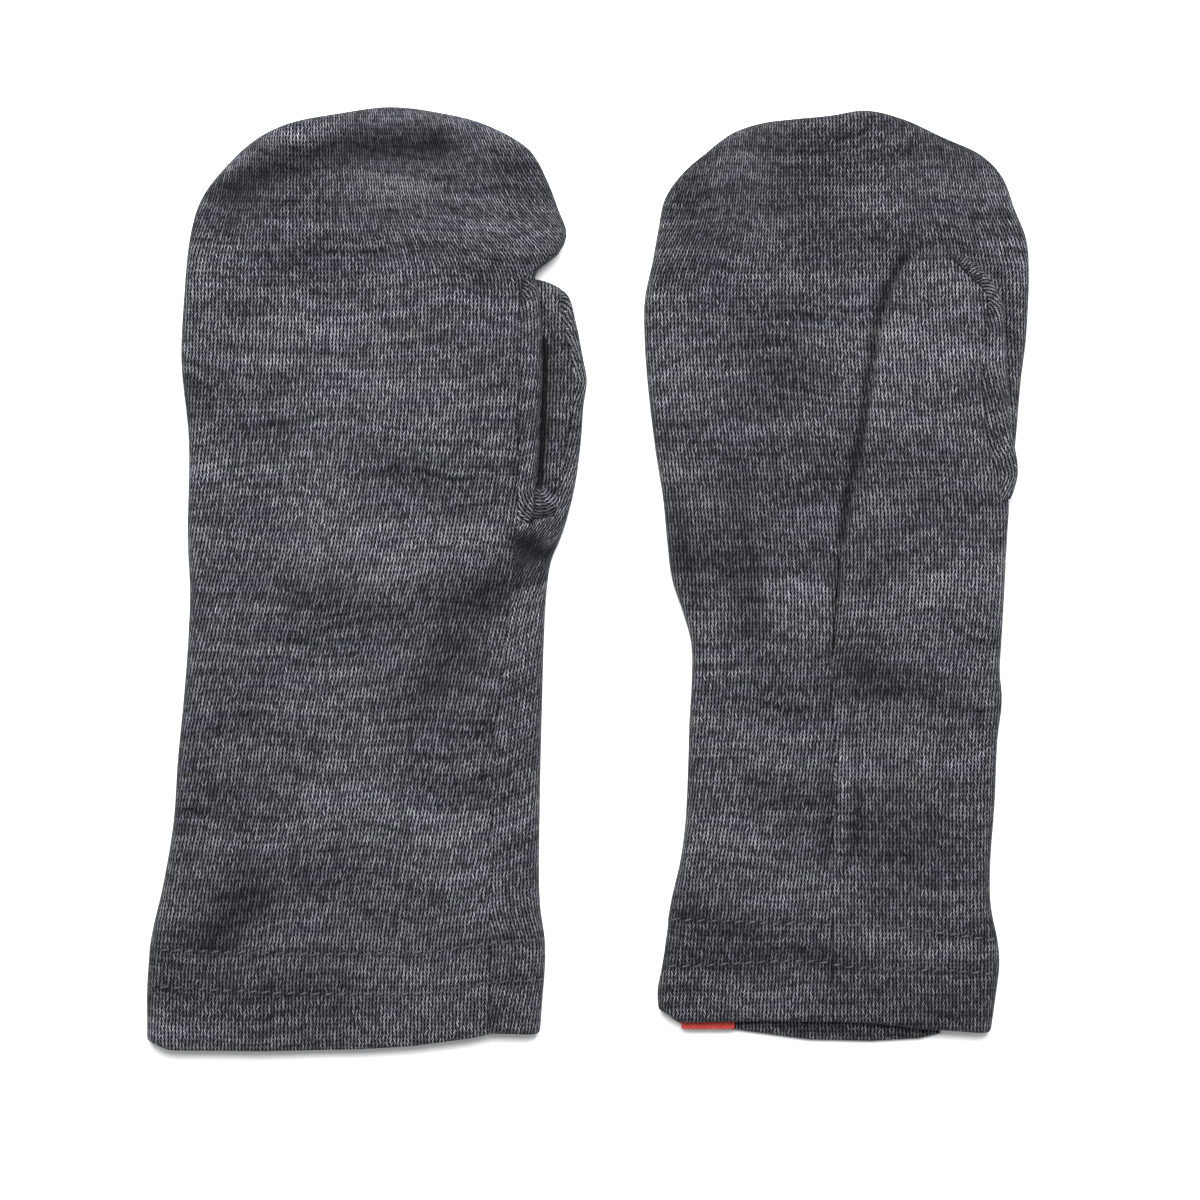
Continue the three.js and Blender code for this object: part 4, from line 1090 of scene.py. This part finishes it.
tab_mesh = bmesh.new()
bmesh.ops.create_cube(tab_mesh, size=1.0)
for corner in tab_mesh.verts:
    share = corner.co + Vector((0.5, 0.5, 0.5))
    corner.co = Vector(tab_low[i] + share[i] * (tab_high[i] - tab_low[i]) for i in range(3))
bmesh.ops.bevel(tab_mesh, geom=tab_mesh.edges[:], offset=TAB_ROUND, segments=4, affect="EDGES", profile=0.5)
tab_data = bpy.data.meshes.new("right_woven_tab")
tab_mesh.to_mesh(tab_data)
tab = new_piece("right_woven_tab", tab_data)
dress(tab, woven_tape(), "right_tab")


# Hem stitches
# Two rows of grey machine stitches hold the turned-up hem of each cuff, right round. Each stitch is a short
# thread that lies on the cloth and dips into it at both ends.
THREAD = 0.32
STITCH_LENGTH = 2.2
STITCH_SHOWN = 1.6
STITCH_TILT = 0.22
THREAD_SIDES = 8
THREAD_STEPS = 9
THREAD_DARK = "#24262a"
THREAD_LIGHT = "#515359"
THREAD_FLECK = 0.6
THREAD_TWIST = 0.3
TWIST_RELIEF = 0.05
STITCH_LIFT = 0.45
STITCH_SINK = 0.75
STITCH_BLUNT = 1.05


def sewing_thread():
    """Spun sewing thread: a little smoother than the jersey, with the fine slant of its twist."""
    values = {"Roughness": 0.7, "Specular IOR Level": 0.2}
    material, tree, shader = new_material("spun sewing thread", values)
    place = add(tree, "TexCoord").node.outputs["Object"]
    flecks = add(tree, "TexNoise", {"Vector": place, "Scale": 1 / (THREAD_FLECK * MM), "Detail": 3.0})
    colour = add(tree, "ValToRGB", (flecks,), stops=((0.3, THREAD_DARK), (0.7, THREAD_LIGHT)))
    tree.links.new(colour, shader.inputs["Base Color"])
    wave = {"Vector": place, "Scale": math.pi / (10 * THREAD_TWIST * MM), "Distortion": 0.5}
    twist = add(tree, "TexWave", wave, bands_direction="DIAGONAL")
    bump = add(tree, "Bump", {"Height": twist, "Strength": 0.5, "Distance": TWIST_RELIEF * MM})
    tree.links.new(bump, shader.inputs["Normal"])
    return material


def cloth_surface(panels):
    """The panels of one mitten as one surface to lay threads on, in millimetres."""
    points, faces = [], []
    for panel in panels:
        count = len(points)
        points += [vertex.co / MM for vertex in panel.data.vertices]
        faces += [[index + count for index in face.vertices] for face in panel.data.polygons]
    return BVHTree.FromPolygons(points, faces)


def hem_stitches(mitten, name, panels):
    surface = cloth_surface(panels)
    turns = np.linspace(0, 2 * math.pi, THREAD_SIDES, endpoint=False)
    shares = np.linspace(-1, 1, THREAD_STEPS)
    points, faces = [], []
    for row in mitten["hem_rows"]:
        line = smooth_line(row)
        steps = np.linalg.norm(np.diff(line, axis=0), axis=1)
        along = np.concatenate([[0], np.cumsum(steps)])
        for up in (1, -1):
            for middle in np.arange(STITCH_LENGTH / 2, along[-1], STITCH_LENGTH):
                rings = []
                for share in shares:
                    at = middle + share * STITCH_SHOWN / 2
                    x = np.interp(at, along, line[:, 0])
                    y = np.interp(at, along, line[:, 1]) + STITCH_TILT * share
                    hit = surface.ray_cast(Vector((x, y, 30.0 * up)), Vector((0, 0, -up)))[0]
                    if hit is None:
                        break
                    lift = THREAD * (STITCH_LIFT - STITCH_SINK * share * share)
                    size = THREAD / 2 * math.sqrt(STITCH_BLUNT - share * share)
                    rings.append([
                        (x, y + size * math.cos(turn), hit.z + up * (lift + size * math.sin(turn)))
                        for turn in turns
                    ])
                if len(rings) < THREAD_STEPS:
                    continue
                start = len(points)
                points += [point for ring in rings for point in ring]
                for i in range(THREAD_STEPS - 1):
                    for j in range(THREAD_SIDES):
                        k = (j + 1) % THREAD_SIDES
                        low, high = start + i * THREAD_SIDES, start + (i + 1) * THREAD_SIDES
                        faces.append((low + j, low + k, high + k, high + j))
                faces.append(tuple(range(start, start + THREAD_SIDES)))
                faces.append(tuple(range(len(points) - 1, len(points) - 1 - THREAD_SIDES, -1)))
    mesh = bpy.data.meshes.new(name)
    mesh.from_pydata([Vector(point) * MM for point in points], [], faces)
    threads = bmesh.new()
    threads.from_mesh(mesh)
    bmesh.ops.recalc_face_normals(threads, faces=threads.faces)
    threads.to_mesh(mesh)
    return new_piece(name, mesh)


thread = sewing_thread()
for side, mitten in PAIR.items():
    panels = [mitten["back"], mitten["palm"], mitten["side"]]
    mitten["stitches"] = hem_stitches(mitten, f"{side}_hem_stitches", panels)
    dress(mitten["stitches"], thread)


# Floor, light and camera
# A plain pale floor, a wide soft light high above that leans to the finger end, and a camera that looks
# straight down.
FLOOR_SIZE = 6.0
half = FLOOR_SIZE / 2
floor_mesh = bpy.data.meshes.new("floor")
floor_corners = [(-half, -half, 0), (half, -half, 0), (half, half, 0), (-half, half, 0)]
floor_mesh.from_pydata(floor_corners, [], [(0, 1, 2, 3)])
floor = new_piece("floor", floor_mesh)
paper = new_material("pale paper", {"Base Color": linear("#f3f3f4"), "Roughness": 0.9})[0]
floor_mesh.materials.append(paper)

lamp = bpy.data.lights.new("soft light", "AREA")
lamp.shape = "DISK"
lamp.size = 0.65
lamp.energy = 22.0
lamp_place = new_object("soft light", lamp)
lamp_place.location = (0.0, 0.38, 0.84)
lamp_place.rotation_euler = (Vector((0, 0, 0)) - lamp_place.location).to_track_quat("-Z", "Y").to_euler()

world = bpy.data.worlds.new("studio")
bpy.context.scene.world = world
world.use_nodes = True
sky = world.node_tree.nodes["Background"]
sky.inputs["Color"].default_value = (1.0, 1.0, 1.0, 1.0)
sky.inputs["Strength"].default_value = 0.52

# The photograph's middle lies 2.1 mm right of and 3.8 mm below the part's middle, and it shows 210 mm
VIEW_MIDDLE = (2.1 * MM, -3.8 * MM)
VIEW_WIDTH = 0.210
VIEW_HEIGHT = 0.9
camera_data = bpy.data.cameras.new("camera")
camera_data.sensor_width = 36.0
camera_data.lens = camera_data.sensor_width * VIEW_HEIGHT / VIEW_WIDTH
camera_data.clip_start = 0.01
camera_data.clip_end = 20.0
camera = new_object("camera", camera_data)
camera.location = (*VIEW_MIDDLE, VIEW_HEIGHT)
bpy.context.scene.camera = camera
bpy.context.scene.view_settings.view_transform = "Standard"
